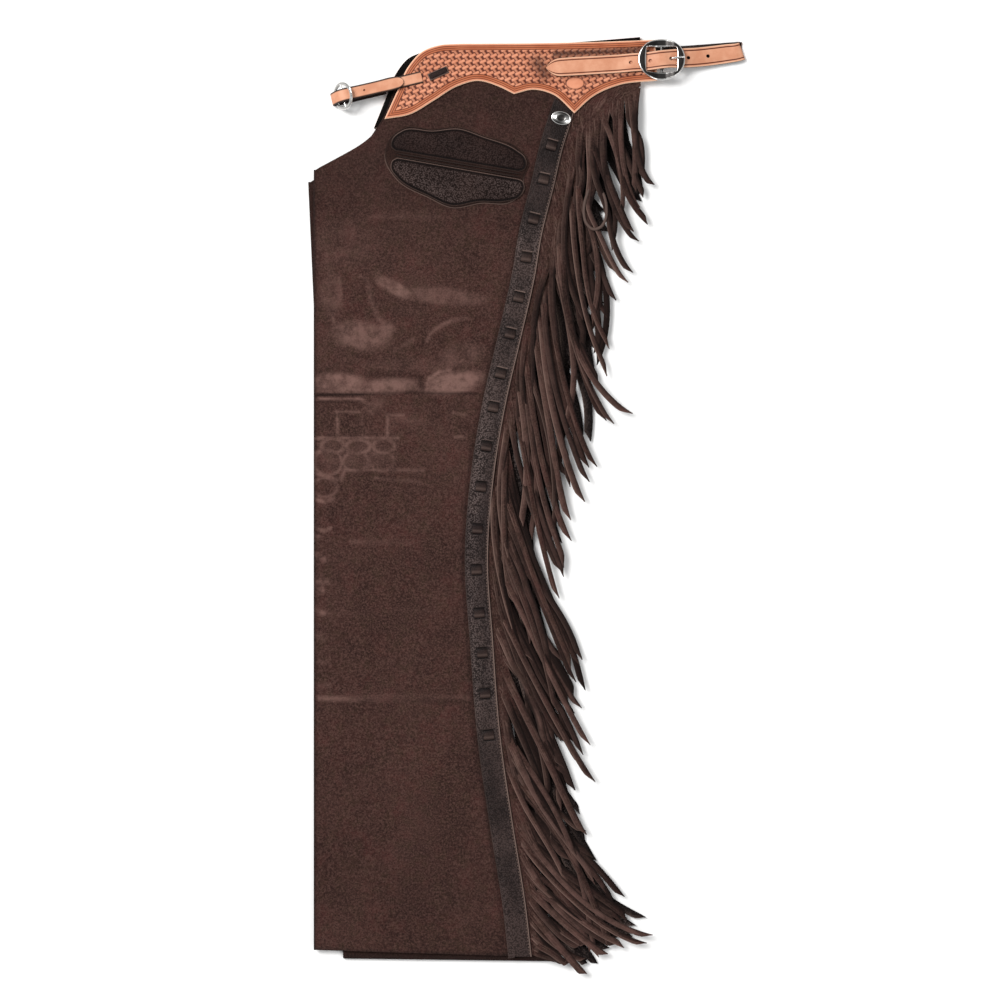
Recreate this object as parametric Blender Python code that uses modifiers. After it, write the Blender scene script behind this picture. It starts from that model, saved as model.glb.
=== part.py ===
"""A pair of western leather chaps, buckled and laid flat, the near leg on top of the far leg.

The script works in metres. Its tables and driving sizes are in millimetres, and MM turns them
into metres where a mesh is made. +X runs from the front fold of a leg to the fringed back seam,
+Y from the hem to the waist and +Z up from the surface that the chaps lie on. Each leg is a
flattened tube, and the far leg is the near leg's pattern again, turned a little about PIVOT.
"""

import math

import bmesh
import bpy
import numpy as np
from mathutils import Matrix, Vector

MM = 0.001

# ---------------------------------------------------------------- driving sizes, millimetres
GAP = 0.3                    # between pieces that touch
HIDE = 1.8                   # suede of the legs and the fringe
FOLD_GAP = 1.0               # air inside a flattened leg
LEG_GAP = 0.4                # air between the legs
YOKE_THICKNESS = 3.2
FAR_YOKE_THICKNESS = 3.0
LINING_THICKNESS = 1.2
STRIP_WIDTH = 27.0
STRIP_SPAN = (-513.2, 444.0)                         # heights of its lower end and of its upper curve
STRIP_TOP = [(54.9, 446.2), (33.2, 465.0)]           # corners under the yoke
STRIP_THICKNESS = 2.0
POCKET_BACKING = 1.2
POCKET_FACING = 1.4
WELT_WIDTH = 1.8
STRAP_THICKNESS = 1.8
CHAPE_THICKNESS = 1.4
BACK_STRAP_WIDTH = 20.8
FRONT_STRAP_WIDTH, FRONT_CHAPE_WIDTH = 14.5, 13.5
FAR_TURN = math.radians(2.58)
PIVOT = (49.0, 226.0)
FAR_YOKE_SHIFT = (-3.0, 0.6)

# Heights of the middle of each leg panel
FAR_OUTER = HIDE / 2
FAR_INNER = FAR_OUTER + HIDE + FOLD_GAP
NEAR_INNER = FAR_INNER + HIDE + LEG_GAP
NEAR_OUTER = NEAR_INNER + HIDE + FOLD_GAP
LINING_BASE = FAR_YOKE_THICKNESS + GAP
FAR_OUTER_AT_YOKE = LINING_BASE + LINING_THICKNESS + GAP + HIDE / 2
ON_LEG = NEAR_OUTER + HIDE / 2 + GAP            # where a piece rests on the near leg
ON_YOKE = ON_LEG + YOKE_THICKNESS + GAP         # where a piece rests on the near yoke

# ---------------------------------------------------------------- the leg's cut
LEG_LEFT = -241.5            # front fold
NEAR_HEM, FAR_HEM = (-506.0, -513.4), (-504.4, -518.4)    # y at the fold, y at the seam
CROTCH_Y = 383.0             # the inner panel stops here
SEAM_ALLOWANCE = 7.0         # the panel's edge lies this far under the trim strip
YOKE_RISE = (396.0, 434.0)   # the far panel climbs over the far yoke between these heights

# Back seam: height y, distance x
SEAM = np.array([
    (447.0, 55.4), (405.0, 42.2), (363.0, 32.5), (311.0, 19.5), (259.0, 10.7), (190.0, -5.0),
    (114.0, -22.5), (27.0, -36.4), (-62.0, -42.4), (-150.0, -36.9), (-268.0, -27.5),
    (-364.0, -13.7), (-456.0, 0.8), (-514.0, 7.4)])

# Rows of the outer panel above the crotch: left x, left y, right x, right y
TOP_ROWS = np.array([
    (-214.0, 397.0, 34.0, 400.0), (-191.0, 410.0, 38.0, 416.0), (-176.0, 421.5, 42.0, 431.0),
    (-164.0, 436.0, 46.0, 447.0), (-151.0, 455.0, 57.0, 466.0), (-142.5, 474.0, 80.0, 481.0),
    (-134.0, 492.0, 106.0, 488.0), (-121.0, 509.0, 130.0, 495.0), (-103.0, 521.0, 143.0, 523.0)])

# Soft swells of the near panel: centre x, centre y, angle in degrees, length, width, height
SWELLS = np.array([
    (-166.0, 139.0, -3.0, 85.0, 15.0, 1.7), (-135.0, 254.0, -12.0, 62.0, 22.0, 1.5),
    (-92.0, 208.0, 20.0, 42.0, 20.0, 1.3), (-190.0, 58.0, 0.0, 62.0, 30.0, 1.5),
    (-150.0, -219.0, 0.0, 98.0, 17.0, 1.6), (-130.0, -52.0, 8.0, 70.0, 26.0, 1.2),
    (-150.0, -125.0, -6.0, 80.0, 30.0, 1.3), (-118.0, -385.0, 80.0, 110.0, 38.0, 1.6)])

# ---------------------------------------------------------------- outlines: x, y, 1 at a corner
YOKE = [
    (-160.6, 440.6, 1), (-131.7, 446.0, 0), (-104.3, 461.7, 0), (-77.0, 478.2, 0),
    (-54.0, 484.0, 0), (-31.4, 477.9, 0), (-13.1, 469.1, 1), (9.0, 474.0, 0), (31.0, 468.6, 0),
    (55.6, 447.2, 1), (78.0, 467.0, 0), (105.5, 479.0, 0), (149.9, 484.5, 1), (147.6, 530.7, 1),
    (84.9, 528.4, 0), (-6.3, 526.6, 0), (-98.0, 525.3, 0), (-117.2, 518.6, 0),
    (-133.0, 501.0, 0), (-146.5, 471.5, 0)]
POCKET = [
    (-160.6, 396.0, 0), (-155.0, 418.0, 0), (-136.0, 431.6, 0), (-106.0, 429.2, 0),
    (-77.0, 432.0, 0), (-48.0, 422.6, 0), (-8.0, 407.5, 0), (4.2, 391.0, 0), (-1.2, 375.0, 0),
    (-4.6, 355.0, 0), (-17.0, 345.6, 0), (-50.0, 344.4, 0), (-84.5, 339.4, 0),
    (-110.0, 350.5, 0), (-146.0, 370.6, 0)]
POCKET_UPPER = [
    (-152.5, 405.0, 1), (-152.0, 417.5, 0), (-140.0, 427.6, 0), (-105.3, 427.2, 0),
    (-76.0, 429.4, 0), (-49.0, 420.6, 0), (-10.0, 405.0, 0), (1.6, 391.0, 0), (-5.4, 380.0, 1)]
POCKET_LOWER = [
    (-146.0, 396.6, 1), (-5.9, 372.0, 1), (-1.6, 364.0, 0), (-6.5, 352.0, 0),
    (-24.0, 346.4, 0), (-52.0, 346.4, 0), (-84.5, 341.9, 0), (-112.0, 353.5, 0),
    (-146.0, 373.5, 0), (-153.6, 386.0, 0)]
POCKET_MOUTH = ((-149.0, 400.3), (-6.0, 376.0))     # middle line of the slanted opening
MOUTH_OFFSET = 1.75                                  # from that line to the middle of a welt

# ---------------------------------------------------------------- the fringe
FRINGE_START = [(131.0, 482.0), (105.5, 479.0), (80.0, 468.5), (64.0, 456.0), (53.5, 439.0)]
FRINGE_END_Y = -512.0
ROOT_INSET = 5.5             # the margin's inner edge lies this far under the strip or yoke
NEAR_STRANDS, FAR_STRANDS = 88, 62
STRAND_SHARE = 0.8           # of the pitch, the rest is the cut
STRAND_THICKNESS = 1.15
LEVEL_PITCH = 1.45           # strands lie on four levels, and strays on a fifth
FAR_LEVEL, NEAR_LEVEL = 0.9, 6.7
NEAR_MARGIN_EDGE = 7.6       # height of the near margin's outer edge along the seam
SETTLE = 22.0                # a strand reaches its level this far from its root
SECTIONS = (0.11, 0.38, 0.7, 1.0)                    # shares of the length where a strand bends
SECTION_WIDTHS = (8.4, 8.0, 6.8, 3.4)
LEVEL_TURN = (-3.0, 2.0, -1.0, 3.5, 0.0)             # degrees added to a level's heading
LENGTH_WAVE = 0.09                                   # share of the length lost at most, twice

# Along the root line: distance, margin width, tip x, tip y, bend in degrees (drooping)
FLOW = np.array([
    (0.0, 13.0, 138.0, 366.0, -4.0), (26.0, 16.0, 132.0, 338.0, -4.0),
    (53.0, 18.0, 124.0, 312.0, 0.0), (74.0, 18.0, 120.0, 288.0, 6.0),
    (94.0, 18.0, 115.0, 262.0, 12.0), (129.0, 18.0, 107.0, 234.0, 16.0),
    (172.0, 18.0, 98.0, 200.0, 18.0), (226.0, 18.0, 89.0, 150.0, 20.0),
    (279.0, 17.0, 83.0, 98.0, 20.0), (350.0, 17.0, 79.0, 36.0, 20.0),
    (428.0, 16.0, 61.0, -26.0, 18.0), (516.0, 16.0, 42.0, -90.0, 18.0),
    (560.0, 16.0, 43.0, -140.0, 18.0), (605.0, 16.0, 52.0, -195.0, 16.0),
    (650.0, 16.0, 62.0, -248.0, 14.0), (693.0, 16.0, 72.0, -285.0, 14.0),
    (740.0, 16.0, 66.0, -322.0, 12.0), (780.0, 16.0, 58.0, -354.0, 8.0),
    (812.0, 15.0, 58.0, -392.0, 0.0), (850.0, 15.0, 64.0, -434.0, -10.0),
    (880.0, 15.0, 88.0, -470.0, -22.0), (905.0, 14.0, 122.0, -487.0, -26.0),
    (930.0, 14.0, 138.0, -496.0, -24.0), (955.0, 14.0, 126.0, -502.0, -14.0),
    (1002.0, 13.0, 94.0, -517.0, -6.0), (1030.0, 12.0, 68.0, -534.0, 0.0),
    (1060.0, 12.0, 45.0, -524.0, 0.0)])
FAR_REACH = 0.8              # length of a far strand, against the near one

# Stray near strands: number along the fringe, tip x, tip y, bend
STRAYS = {
    0: (144.5, 365.0, -24.0), 3: (140.0, 324.0, -20.0), 7: (126.0, 300.0, -16.0),
    22: (119.0, 104.0, -12.0), 33: (78.0, 44.0, 10.0), 39: (64.0, 4.0, 8.0),
    53: (54.5, -196.0, 4.0), 59: (71.0, -273.0, 4.0), 64: (78.0, -322.0, 4.0),
    75: (144.0, -491.0, -28.0), 84: (69.0, -534.3, -6.0)}

# ---------------------------------------------------------------- lace, concho, tab
LACE_Y = (410.5, 372.1, 326.7, 283.1, 237.7, 196.1, 150.9, 112.6,
          68.1, 21.9, -26.1, -72.8, -122.0, -167.4, -213.6, -261.0)
LACE_SIZE = (12.5, 9.5, 1.3)
CONCHO_CENTRE = (40.5, 441.5)
CONCHO_SIZE = (23.0, 15.0, 3.4)
CONCHO_TURN = math.radians(-12.0)
TAB_CENTRE = (-99.3, 492.1)
TAB_SIZE = (23.4, 8.2, 2.0)
TAB_TURN = math.radians(23.6)

# ---------------------------------------------------------------- back strap and buckle
BACK_RING = (53.6, 46.7)     # outer length and width
BACK_WINDOW = (35.0, 28.5)
BACK_RING_THICKNESS = 2.5
BACK_BAR = 3.0
BACK_CENTRE = (154.5, 507.6)
BAR_HEIGHT = 14.7            # middle of the bar
RING_ARCH = 3.9              # the ring's sides stand this much above its bar
ARCH_FLAT, ARCH_RUN = 4.0, 11.0
TONGUE_DIAMETER = 1.9
FOLD_RADIUS = 1.9            # of a strap's middle, where it turns back
FOLD_STEP = 3.0              # a route's flat steps are shorter than this only in a fold
BACK_HOLES_X = (119.5, 141.6, 165.2, 185.4, 208.1)
HOLE_DIAMETER, HOLE_CUT_DEPTH = 4.4, 3.4

# Upper run of the back strap from its point to the fold: x, y, height of its middle, width share
BACK_UPPER = np.array([
    (23.4, 498.2, 14.3, 0.08), (28.0, 498.5, 14.3, 0.55), (33.6, 498.8, 14.3, 0.86),
    (41.0, 499.2, 14.3, 1.0), (84.9, 501.8, 14.3, 1.0), (110.0, 503.4, 14.5, 1.0),
    (120.0, 504.1, 16.1, 1.0), (138.0, 505.4, 16.2, 1.0), (145.0, 506.0, 18.3, 1.0),
    (151.0, 506.6, 19.9, 1.0), (158.0, 507.4, 19.9, 1.0), (163.5, 508.1, 18.3, 1.0),
    (170.0, 508.7, 16.2, 1.03), (181.0, 509.7, 13.6, 1.07), (196.0, 511.4, 9.0, 1.07),
    (212.0, 513.6, 6.2, 1.07), (229.0, 516.0, 5.3, 1.05), (243.7, 518.2, 5.1, 1.0)])
BACK_LOWER = np.array([(243.7, 519.8, 1.3, 1.0), (190.0, 514.6, 1.3, 1.0), (139.4, 510.9, 1.3, 1.0)])
BACK_CHAPE_Y, BACK_CHAPE_WIDTH = 505.4, 17.0
BACK_CHAPE_RISE = np.array([(119.0, 0.0), (137.0, 0.0), (146.0, 1.6)])    # x, rise from the yoke
BAR_CLEARANCE = 0.9          # from half a bar's width to the inside of the leather round it

# Tongue from beside the bar, up through a hole, over the strap to the ring: x from the bar, y, height
TONGUE_ROUTE = np.array([
    (4.6, 507.4, 13.9), (7.4, 507.7, 13.7), (9.6, 508.0, 15.2), (10.7, 508.1, 18.0),
    (11.8, 508.2, 20.4), (15.0, 508.6, 21.2), (22.0, 509.3, 21.4), (26.4, 509.8, 21.3)])

# ---------------------------------------------------------------- front strap and buckle
FRONT_CENTRE = (-207.6, 466.4)
FRONT_ANGLE = math.radians(13.6)                     # the strap's rise to the right
FRONT_RING_RADIUS, FRONT_WINDOW_RADIUS = 15.8, 11.9
FRONT_RING_THICKNESS = 2.0
FRONT_BAR = 2.4
FRONT_TILT = math.radians(46.0)
FRONT_HEIGHT = 14.9          # middle of the bar

# Front strap from its tip over the bar, round the ring's low side and back under:
# distance right of the bar, height of its middle, width share
FRONT_ROUTE = np.array([
    (70.4, 16.3, 0.3), (69.0, 16.3, 0.62), (66.0, 16.3, 0.88), (61.0, 16.5, 1.0),
    (40.0, 17.0, 1.0), (18.0, 18.4, 1.0), (8.0, 19.8, 1.0), (0.0, 20.2, 1.0), (-5.4, 17.7, 1.0),
    (-9.7, 12.9, 1.0), (-12.5, 8.2, 1.0), (-13.2, 5.2, 1.0), (-12.5, 2.7, 1.0),
    (-10.8, 1.4, 1.0), (0.0, 1.3, 1.0), (30.0, 1.3, 1.0), (48.6, 1.3, 1.0)])
FRONT_CHAPE_RISE = np.array([(92.0, 0.0), (60.0, 0.0), (30.0, 0.8), (12.0, 2.0)])  # along, rise

COLLECTION = "western_chaps"


# ---------------------------------------------------------------- curves in numbers
def smooth_curve(position, value, wanted):
    """Cubic Hermite curve through the knots (position rising), read at the wanted positions."""
    position, value, wanted = map(np.asarray, (position, value, wanted))
    slopes = np.gradient(value, position, axis=0)
    i = np.clip(np.searchsorted(position, wanted, side="right") - 1, 0, len(position) - 2)
    span = position[i + 1] - position[i]
    t = np.clip((wanted - position[i]) / span, 0.0, 1.0)
    if value.ndim > 1:
        t, span = t[:, None], span[:, None]
    rise = value[i + 1] - value[i]
    start = slopes[i] * span - rise
    end = rise - slopes[i + 1] * span
    return value[i] + t * rise + t * (1 - t) * ((1 - t) * start + t * end)


def ease(low, high, value):
    """Smooth step from 0 at low to 1 at high."""
    t = np.clip((np.asarray(value, dtype=float) - low) / (high - low), 0.0, 1.0)
    return t * t * (3 - 2 * t)


def seam_x(y):
    """Distance of the back seam at height y."""
    return smooth_curve(SEAM[::-1, 0], SEAM[::-1, 1], np.atleast_1d(y))


def arc_lengths(points):
    """Distance along a polyline to each of its points."""
    steps = np.linalg.norm(np.diff(points, axis=0), axis=1)
    return np.concatenate([[0.0], np.cumsum(steps)])


def outline(knots, steps=5):
    """Closed outline: a smooth curve through the knots, broken at each corner."""
    knots = [tuple(knot) for knot in knots]
    corners = [i for i, knot in enumerate(knots) if knot[2]]
    first = corners[0] if corners else 0
    ordered = knots[first:] + knots[:first + 1]
    if not corners:
        loop = np.array([knot[:2] for knot in knots[-2:] + knots + knots[:3]])
        distance = arc_lengths(loop)
        fine = np.concatenate([np.linspace(distance[i], distance[i + 1], steps, endpoint=False)
                               for i in range(2, len(knots) + 2)])
        return smooth_curve(distance, loop, fine)
    pieces, stretch = [], [ordered[0][:2]]
    for knot in ordered[1:]:
        stretch.append(knot[:2])
        if knot[2]:
            points = np.array(stretch)
            if len(points) == 2:
                pieces.append(points[:1])
            else:
                distance = arc_lengths(points)
                fine = np.concatenate([np.linspace(a, b, steps, endpoint=False)
                                       for a, b in zip(distance, distance[1:])])
                pieces.append(smooth_curve(distance, points, fine))
            stretch = [knot[:2]]
    return np.concatenate(pieces)


def side_vectors(points):
    """Unit vectors at right angles to a flat route, to its left, never flipping over a fold."""
    tangents = np.gradient(points[:, :2], axis=0)
    sides, last = [], None
    for tangent in tangents:
        length = np.hypot(*tangent)
        if last is None or length > FOLD_STEP:
            side = np.array([-tangent[1], tangent[0]]) / length
            last = side if last is None or side @ last > 0 else -side
        sides.append(last)
    return np.array(sides)


# ---------------------------------------------------------------- Blender helpers
def make_material(name, colour, roughness, metallic=0.0):
    material = bpy.data.materials.new(name)
    material.use_nodes = True
    surface = material.node_tree.nodes["Principled BSDF"]
    surface.inputs["Base Color"].default_value = (*colour, 1.0)
    surface.inputs["Roughness"].default_value = roughness
    surface.inputs["Metallic"].default_value = metallic
    return material


def add_object(name, data, material, parent=None):
    """Put new object data in the chaps' collection, under a parent if one is given."""
    item = bpy.data.objects.new(name, data)
    bpy.data.collections[COLLECTION].objects.link(item)
    if material is not None:
        data.materials.append(material)
    if parent is not None:
        item.parent = parent
        item.location = (-PIVOT[0] * MM, -PIVOT[1] * MM, 0.0)
    return item


def mesh_from(bm, name):
    mesh = bpy.data.meshes.new(name)
    bm.to_mesh(mesh)
    bm.free()
    return mesh


def plate(name, outlines, base, thickness, material, parent=None):
    """Flat piece from closed outlines in millimetres, the first outside and the rest holes."""
    curve = bpy.data.curves.new(name, "CURVE")
    curve.dimensions = "2D"
    curve.fill_mode = "BOTH"
    curve.extrude = thickness / 2 * MM
    for points in outlines:
        spline = curve.splines.new("POLY")
        spline.points.add(len(points) - 1)
        flat = np.column_stack([points * MM, np.zeros(len(points)), np.ones(len(points))])
        spline.points.foreach_set("co", flat.ravel())
        spline.use_cyclic_u = True
    item = add_object(name, curve, material, parent)
    item.location.z = (base + thickness / 2) * MM
    return item


def as_mesh(item):
    """Replace a curve object by its mesh, with the caps welded on."""
    bpy.context.view_layer.update()
    evaluated = item.evaluated_get(bpy.context.evaluated_depsgraph_get())
    mesh = bpy.data.meshes.new_from_object(evaluated)
    bm = bmesh.new()
    bm.from_mesh(mesh)
    bmesh.ops.remove_doubles(bm, verts=bm.verts, dist=1e-6)
    bm.to_mesh(mesh)
    bm.free()
    name, matrix = item.name, item.matrix_world.copy()
    bpy.data.objects.remove(item)
    mesh.name = name
    made = bpy.data.objects.new(name, mesh)
    bpy.data.collections[COLLECTION].objects.link(made)
    made.matrix_world = matrix
    return made


def grid_mesh(name, columns, rows, place):
    """Grid whose point in column i and row j lies at place(i, j), in millimetres."""
    bm = bmesh.new()
    bmesh.ops.create_grid(bm, x_segments=columns, y_segments=rows, size=1.0)
    for vert in bm.verts:
        i = round((vert.co.x + 1) / 2 * columns)
        j = round((vert.co.y + 1) / 2 * rows)
        vert.co = Vector(place(i, j)) * MM
    return bm


def thicken(item, thickness):
    modifier = item.modifiers.new("wall", "SOLIDIFY")
    modifier.thickness = thickness * MM
    modifier.offset = 0.0
    modifier.use_even_offset = True


def ribbon(name, route, width, thickness, material):
    """Strap along a route of x, y, height and width share, in millimetres."""
    sides = side_vectors(route)

    def place(i, j):
        x, y, z, share = route[j]
        reach = (i - 1) * width * share / 2
        return x + sides[j][0] * reach, y + sides[j][1] * reach, z

    item = add_object(name, mesh_from(grid_mesh(name, 2, len(route) - 1, place), name), material)
    thicken(item, thickness)
    return item


# ---------------------------------------------------------------- legs
OUTER_COLUMNS, FOLD_COLUMNS, INNER_COLUMNS = 11, 4, 3
LOW_ROWS = 27


def swell(x, y):
    """Height of the soft swells at a point of the near panel."""
    total = 0.0
    for cx, cy, angle, length, width, height in SWELLS:
        turn = math.radians(angle)
        along = (x - cx) * math.cos(turn) + (y - cy) * math.sin(turn)
        across = (y - cy) * math.cos(turn) - (x - cx) * math.sin(turn)
        total += height * math.exp(-(along / length) ** 2 - (across / width) ** 2)
    from_fold = float(ease(4.0, 34.0, x - LEG_LEFT))
    from_strip = float(ease(4.0, 30.0, seam_x(y)[0] - STRIP_WIDTH - x))
    below_pocket = 1.0 - float(ease(300.0, 335.0, y))
    return total * from_fold * from_strip * below_pocket


def near_height(x, y):
    return NEAR_OUTER + swell(x, y)


def far_height(_x, y):
    return FAR_OUTER + (FAR_OUTER_AT_YOKE - FAR_OUTER) * float(ease(*YOKE_RISE, y))


def leg_edges(j, hem):
    """Left and right ends of row j, counted from the hem."""
    if j <= LOW_ROWS:
        left_y, right_y = (y + (CROTCH_Y - y) * j / LOW_ROWS for y in hem)
        return (LEG_LEFT, left_y), (float(seam_x(right_y)[0]) - SEAM_ALLOWANCE, right_y)
    left_x, left_y, right_x, right_y = TOP_ROWS[j - LOW_ROWS - 1]
    return (left_x, left_y), (right_x, right_y)


def make_leg(name, hem, height, inner, material, parent=None):
    """Flattened tube: outer panel from the seam, round the front fold, and the inner panel."""
    columns = OUTER_COLUMNS + FOLD_COLUMNS + INNER_COLUMNS
    rows = LOW_ROWS + len(TOP_ROWS)
    radius = (HIDE + FOLD_GAP) / 2
    fold_x = LEG_LEFT + HIDE / 2 + radius

    def place(i, j):
        (left_x, left_y), (right_x, right_y) = leg_edges(j, hem)
        turn_x = fold_x if j <= LOW_ROWS else left_x
        if i <= OUTER_COLUMNS:
            share = i / OUTER_COLUMNS
            x = right_x + (turn_x - right_x) * share
            y = right_y + (left_y - right_y) * share
            return x, y, height(x, y)
        outer = height(turn_x, left_y)
        if i <= OUTER_COLUMNS + FOLD_COLUMNS:
            angle = math.pi * (i - OUTER_COLUMNS) / FOLD_COLUMNS
            middle, reach = (outer + inner) / 2, (outer - inner) / 2
            return turn_x - radius * math.sin(angle), left_y, middle + reach * math.cos(angle)
        share = (i - OUTER_COLUMNS - FOLD_COLUMNS) / INNER_COLUMNS
        return turn_x + (right_x - turn_x) * share, left_y + (right_y - left_y) * share, inner

    bm = grid_mesh(name, columns, rows, place)
    bm.faces.ensure_lookup_table()
    above_crotch = [face for n, face in enumerate(bm.faces)
                    if n % columns >= OUTER_COLUMNS and n // columns >= LOW_ROWS]
    bmesh.ops.delete(bm, geom=above_crotch, context="FACES")
    leg = add_object(name, mesh_from(bm, name), material, parent)
    thicken(leg, HIDE)
    return leg


# ---------------------------------------------------------------- fringe
def root_line():
    """Points and arc lengths of the line where the fringe leaves the yoke and the strip."""
    heights = np.array([y for y in SEAM[1:-1, 0]] + [FRINGE_END_Y])
    seam = np.column_stack([seam_x(heights), heights])
    points = np.concatenate([np.array(FRINGE_START), seam])
    return points, arc_lengths(points)


def extrude_to(bm, face, corners, places):
    """Extrude a face, move its new corners to their places and return them with the new face."""
    old = [corner.co.copy() for corner in corners]
    new_face = bmesh.ops.extrude_discrete_faces(bm, faces=[face])["faces"][0]
    moved = [min(new_face.verts, key=lambda vert: (vert.co - place).length) for place in old]
    for vert, place in zip(moved, places):
        vert.co = Vector(place) * MM
    return moved, new_face


def face_of(corners):
    """The face that four corners share."""
    shared = set(corners[0].link_faces)
    for corner in corners[1:]:
        shared &= set(corner.link_faces)
    return shared.pop()


def strand_centres(start, chord, bend, length):
    """Centre and heading of a strand at each of its sections, as its heading turns evenly."""
    steps = np.linspace(0.0, 1.0, 41)
    heading = np.radians(chord + bend * (0.5 - steps))
    pace = length / (len(steps) - 1)
    x = start[0] + pace * np.concatenate([[0.0], np.cumsum(np.cos(heading[1:]))])
    y = start[1] + pace * np.concatenate([[0.0], np.cumsum(np.sin(heading[1:]))])
    return [(np.interp(s, steps, x), np.interp(s, steps, y), np.interp(s, steps, heading))
            for s in SECTIONS]


def grow_strand(bm, root, start, number, level_base, flow, reach, strays):
    """Extrude one strand from its root corners: upper top, lower top, lower and upper bottom."""
    level = 4 if number in strays else number % 4
    tip_x, tip_y, bend = strays.get(number, flow[1:])
    chord = math.degrees(math.atan2(tip_y - start[1], tip_x - start[0])) + LEVEL_TURN[level]
    length = math.hypot(tip_x - start[0], tip_y - start[1]) * reach
    if number not in strays:
        length *= 1.0 - LENGTH_WAVE * (2.0 + math.sin(1.7 * number) + math.sin(0.61 * number)) / 2
    height = level_base + level * LEVEL_PITCH
    corners, face = root, face_of(root)
    for share, width, (x, y, heading) in zip(
            SECTIONS, SECTION_WIDTHS, strand_centres(start[:2], chord, bend, length)):
        z = start[2] + (height - start[2]) * float(ease(0.0, SETTLE, share * length))
        left = np.array([-math.sin(heading), math.cos(heading)]) * width / 2
        low, high = z - STRAND_THICKNESS / 2, z + STRAND_THICKNESS / 2
        places = [(x + left[0], y + left[1], high), (x - left[0], y - left[1], high),
                  (x - left[0], y - left[1], low), (x + left[0], y + left[1], low)]
        corners, face = extrude_to(bm, face, corners, places)


def make_fringe(name, strands, heights, reach, strays, material, parent=None):
    """Uncut margin carried along the seam, with a strand grown from every second step of it."""
    panel_height, edge_height, level_base = heights
    points, distance = root_line()
    pitch = distance[-1] / strands
    cuts = np.sort(np.concatenate([np.arange(strands) * pitch,
                                   (np.arange(strands) + STRAND_SHARE) * pitch]))
    line = smooth_curve(distance, points, cuts)
    ahead = smooth_curve(distance, points, np.clip(cuts + 4.0, 0, distance[-1]))
    behind = smooth_curve(distance, points, np.clip(cuts - 4.0, 0, distance[-1]))
    travel = (ahead - behind) / np.linalg.norm(ahead - behind, axis=1)[:, None]
    outward = np.column_stack([-travel[:, 1], travel[:, 0]])
    flow = np.column_stack([np.interp(cuts, FLOW[:, 0], FLOW[:, k]) for k in range(1, 5)])

    def section(k):
        """Corners of the margin at cut k: inner top, outer top, outer bottom, inner bottom."""
        inner = line[k] - outward[k] * ROOT_INSET
        outer = line[k] + outward[k] * flow[k][0]
        z_in, z_out = panel_height(*inner), edge_height(*outer)
        half = HIDE / 2
        return [(*inner, z_in + half), (*outer, z_out + half), (*outer, z_out - half),
                (*inner, z_in - half)]

    bm = bmesh.new()
    bmesh.ops.create_grid(bm, x_segments=1, y_segments=1, size=1.0)
    bm.faces.ensure_lookup_table()
    face = bm.faces[0]
    corners = list(face.verts)
    for corner, place in zip(corners, section(0)):
        corner.co = Vector(place) * MM
    roots = []
    for k in range(1, len(cuts)):
        last = corners
        corners, face = extrude_to(bm, face, corners, section(k))
        if k % 2:
            start = (np.array(section(k - 1)[1]) + np.array(section(k - 1)[2])
                     + np.array(section(k)[1]) + np.array(section(k)[2])) / 4
            roots.append(([last[1], corners[1], corners[2], last[2]], start, flow[k]))
    for number, (root, start, root_flow) in enumerate(roots):
        grow_strand(bm, root, start, number, level_base, root_flow, reach, strays)
    bmesh.ops.holes_fill(bm, edges=[edge for edge in bm.edges if edge.is_boundary])
    bmesh.ops.recalc_face_normals(bm, faces=bm.faces)
    return add_object(name, mesh_from(bm, name), material, parent)


def near_edge_height(_x, y):
    return NEAR_OUTER + (NEAR_MARGIN_EDGE - NEAR_OUTER) * float(1.0 - ease(395.0, 440.0, y))


def near_flat(_x, _y):
    return NEAR_OUTER


# ---------------------------------------------------------------- strip, lace, concho, pocket
def strip_outline():
    """The trim strip: the seam, and the same line moved left by the strip's width."""
    heights = np.linspace(*STRIP_SPAN, 34)
    right = np.column_stack([seam_x(heights), heights])
    travel = np.gradient(right, axis=0)
    travel /= np.linalg.norm(travel, axis=1)[:, None]
    left = right + np.column_stack([-travel[:, 1], travel[:, 0]]) * STRIP_WIDTH
    left[0] = (left[0][0], heights[0])
    return np.concatenate([right, np.array(STRIP_TOP), left[::-1]])


def lace_place(y):
    """Middle of the strip at height y and the strip's turn there."""
    above, below = seam_x(y + 5.0)[0], seam_x(y - 5.0)[0]
    slope = math.atan2(10.0, above - below) - math.pi / 2
    return float(seam_x(y)[0]) - STRIP_WIDTH / 2 / math.cos(slope), slope


def make_laces(material):
    bm = bmesh.new()
    bmesh.ops.create_cube(bm, size=1.0, matrix=Matrix.Diagonal((*[s * MM for s in LACE_SIZE], 1.0)))
    mesh = mesh_from(bm, "lace")
    mesh.materials.append(material)
    for number, y in enumerate(LACE_Y, start=1):
        x, turn = lace_place(y)
        lace = add_object(f"lace_{number:02d}", mesh, None)
        height = ON_LEG + STRIP_THICKNESS + GAP + LACE_SIZE[2] / 2
        lace.location = (x * MM, y * MM, height * MM)
        lace.rotation_euler.z = turn
        bevel = lace.modifiers.new("rounded", "BEVEL")
        bevel.width = 0.4 * MM
        bevel.segments = 1


def make_concho(material):
    """Oval dome: a sphere's upper half, with its lower half pressed flat."""
    bm = bmesh.new()
    bmesh.ops.create_uvsphere(bm, u_segments=20, v_segments=8, radius=1.0)
    for vert in bm.verts:
        height = max(vert.co.z, 0.0) * CONCHO_SIZE[2]
        vert.co = Vector((vert.co.x * CONCHO_SIZE[0] / 2, vert.co.y * CONCHO_SIZE[1] / 2, height)) * MM
    mesh = mesh_from(bm, "concho")
    mesh.shade_smooth()
    concho = add_object("concho", mesh, material)
    concho.location = Vector((*CONCHO_CENTRE, ON_LEG + STRIP_THICKNESS + GAP)) * MM
    concho.rotation_euler.z = CONCHO_TURN


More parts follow.
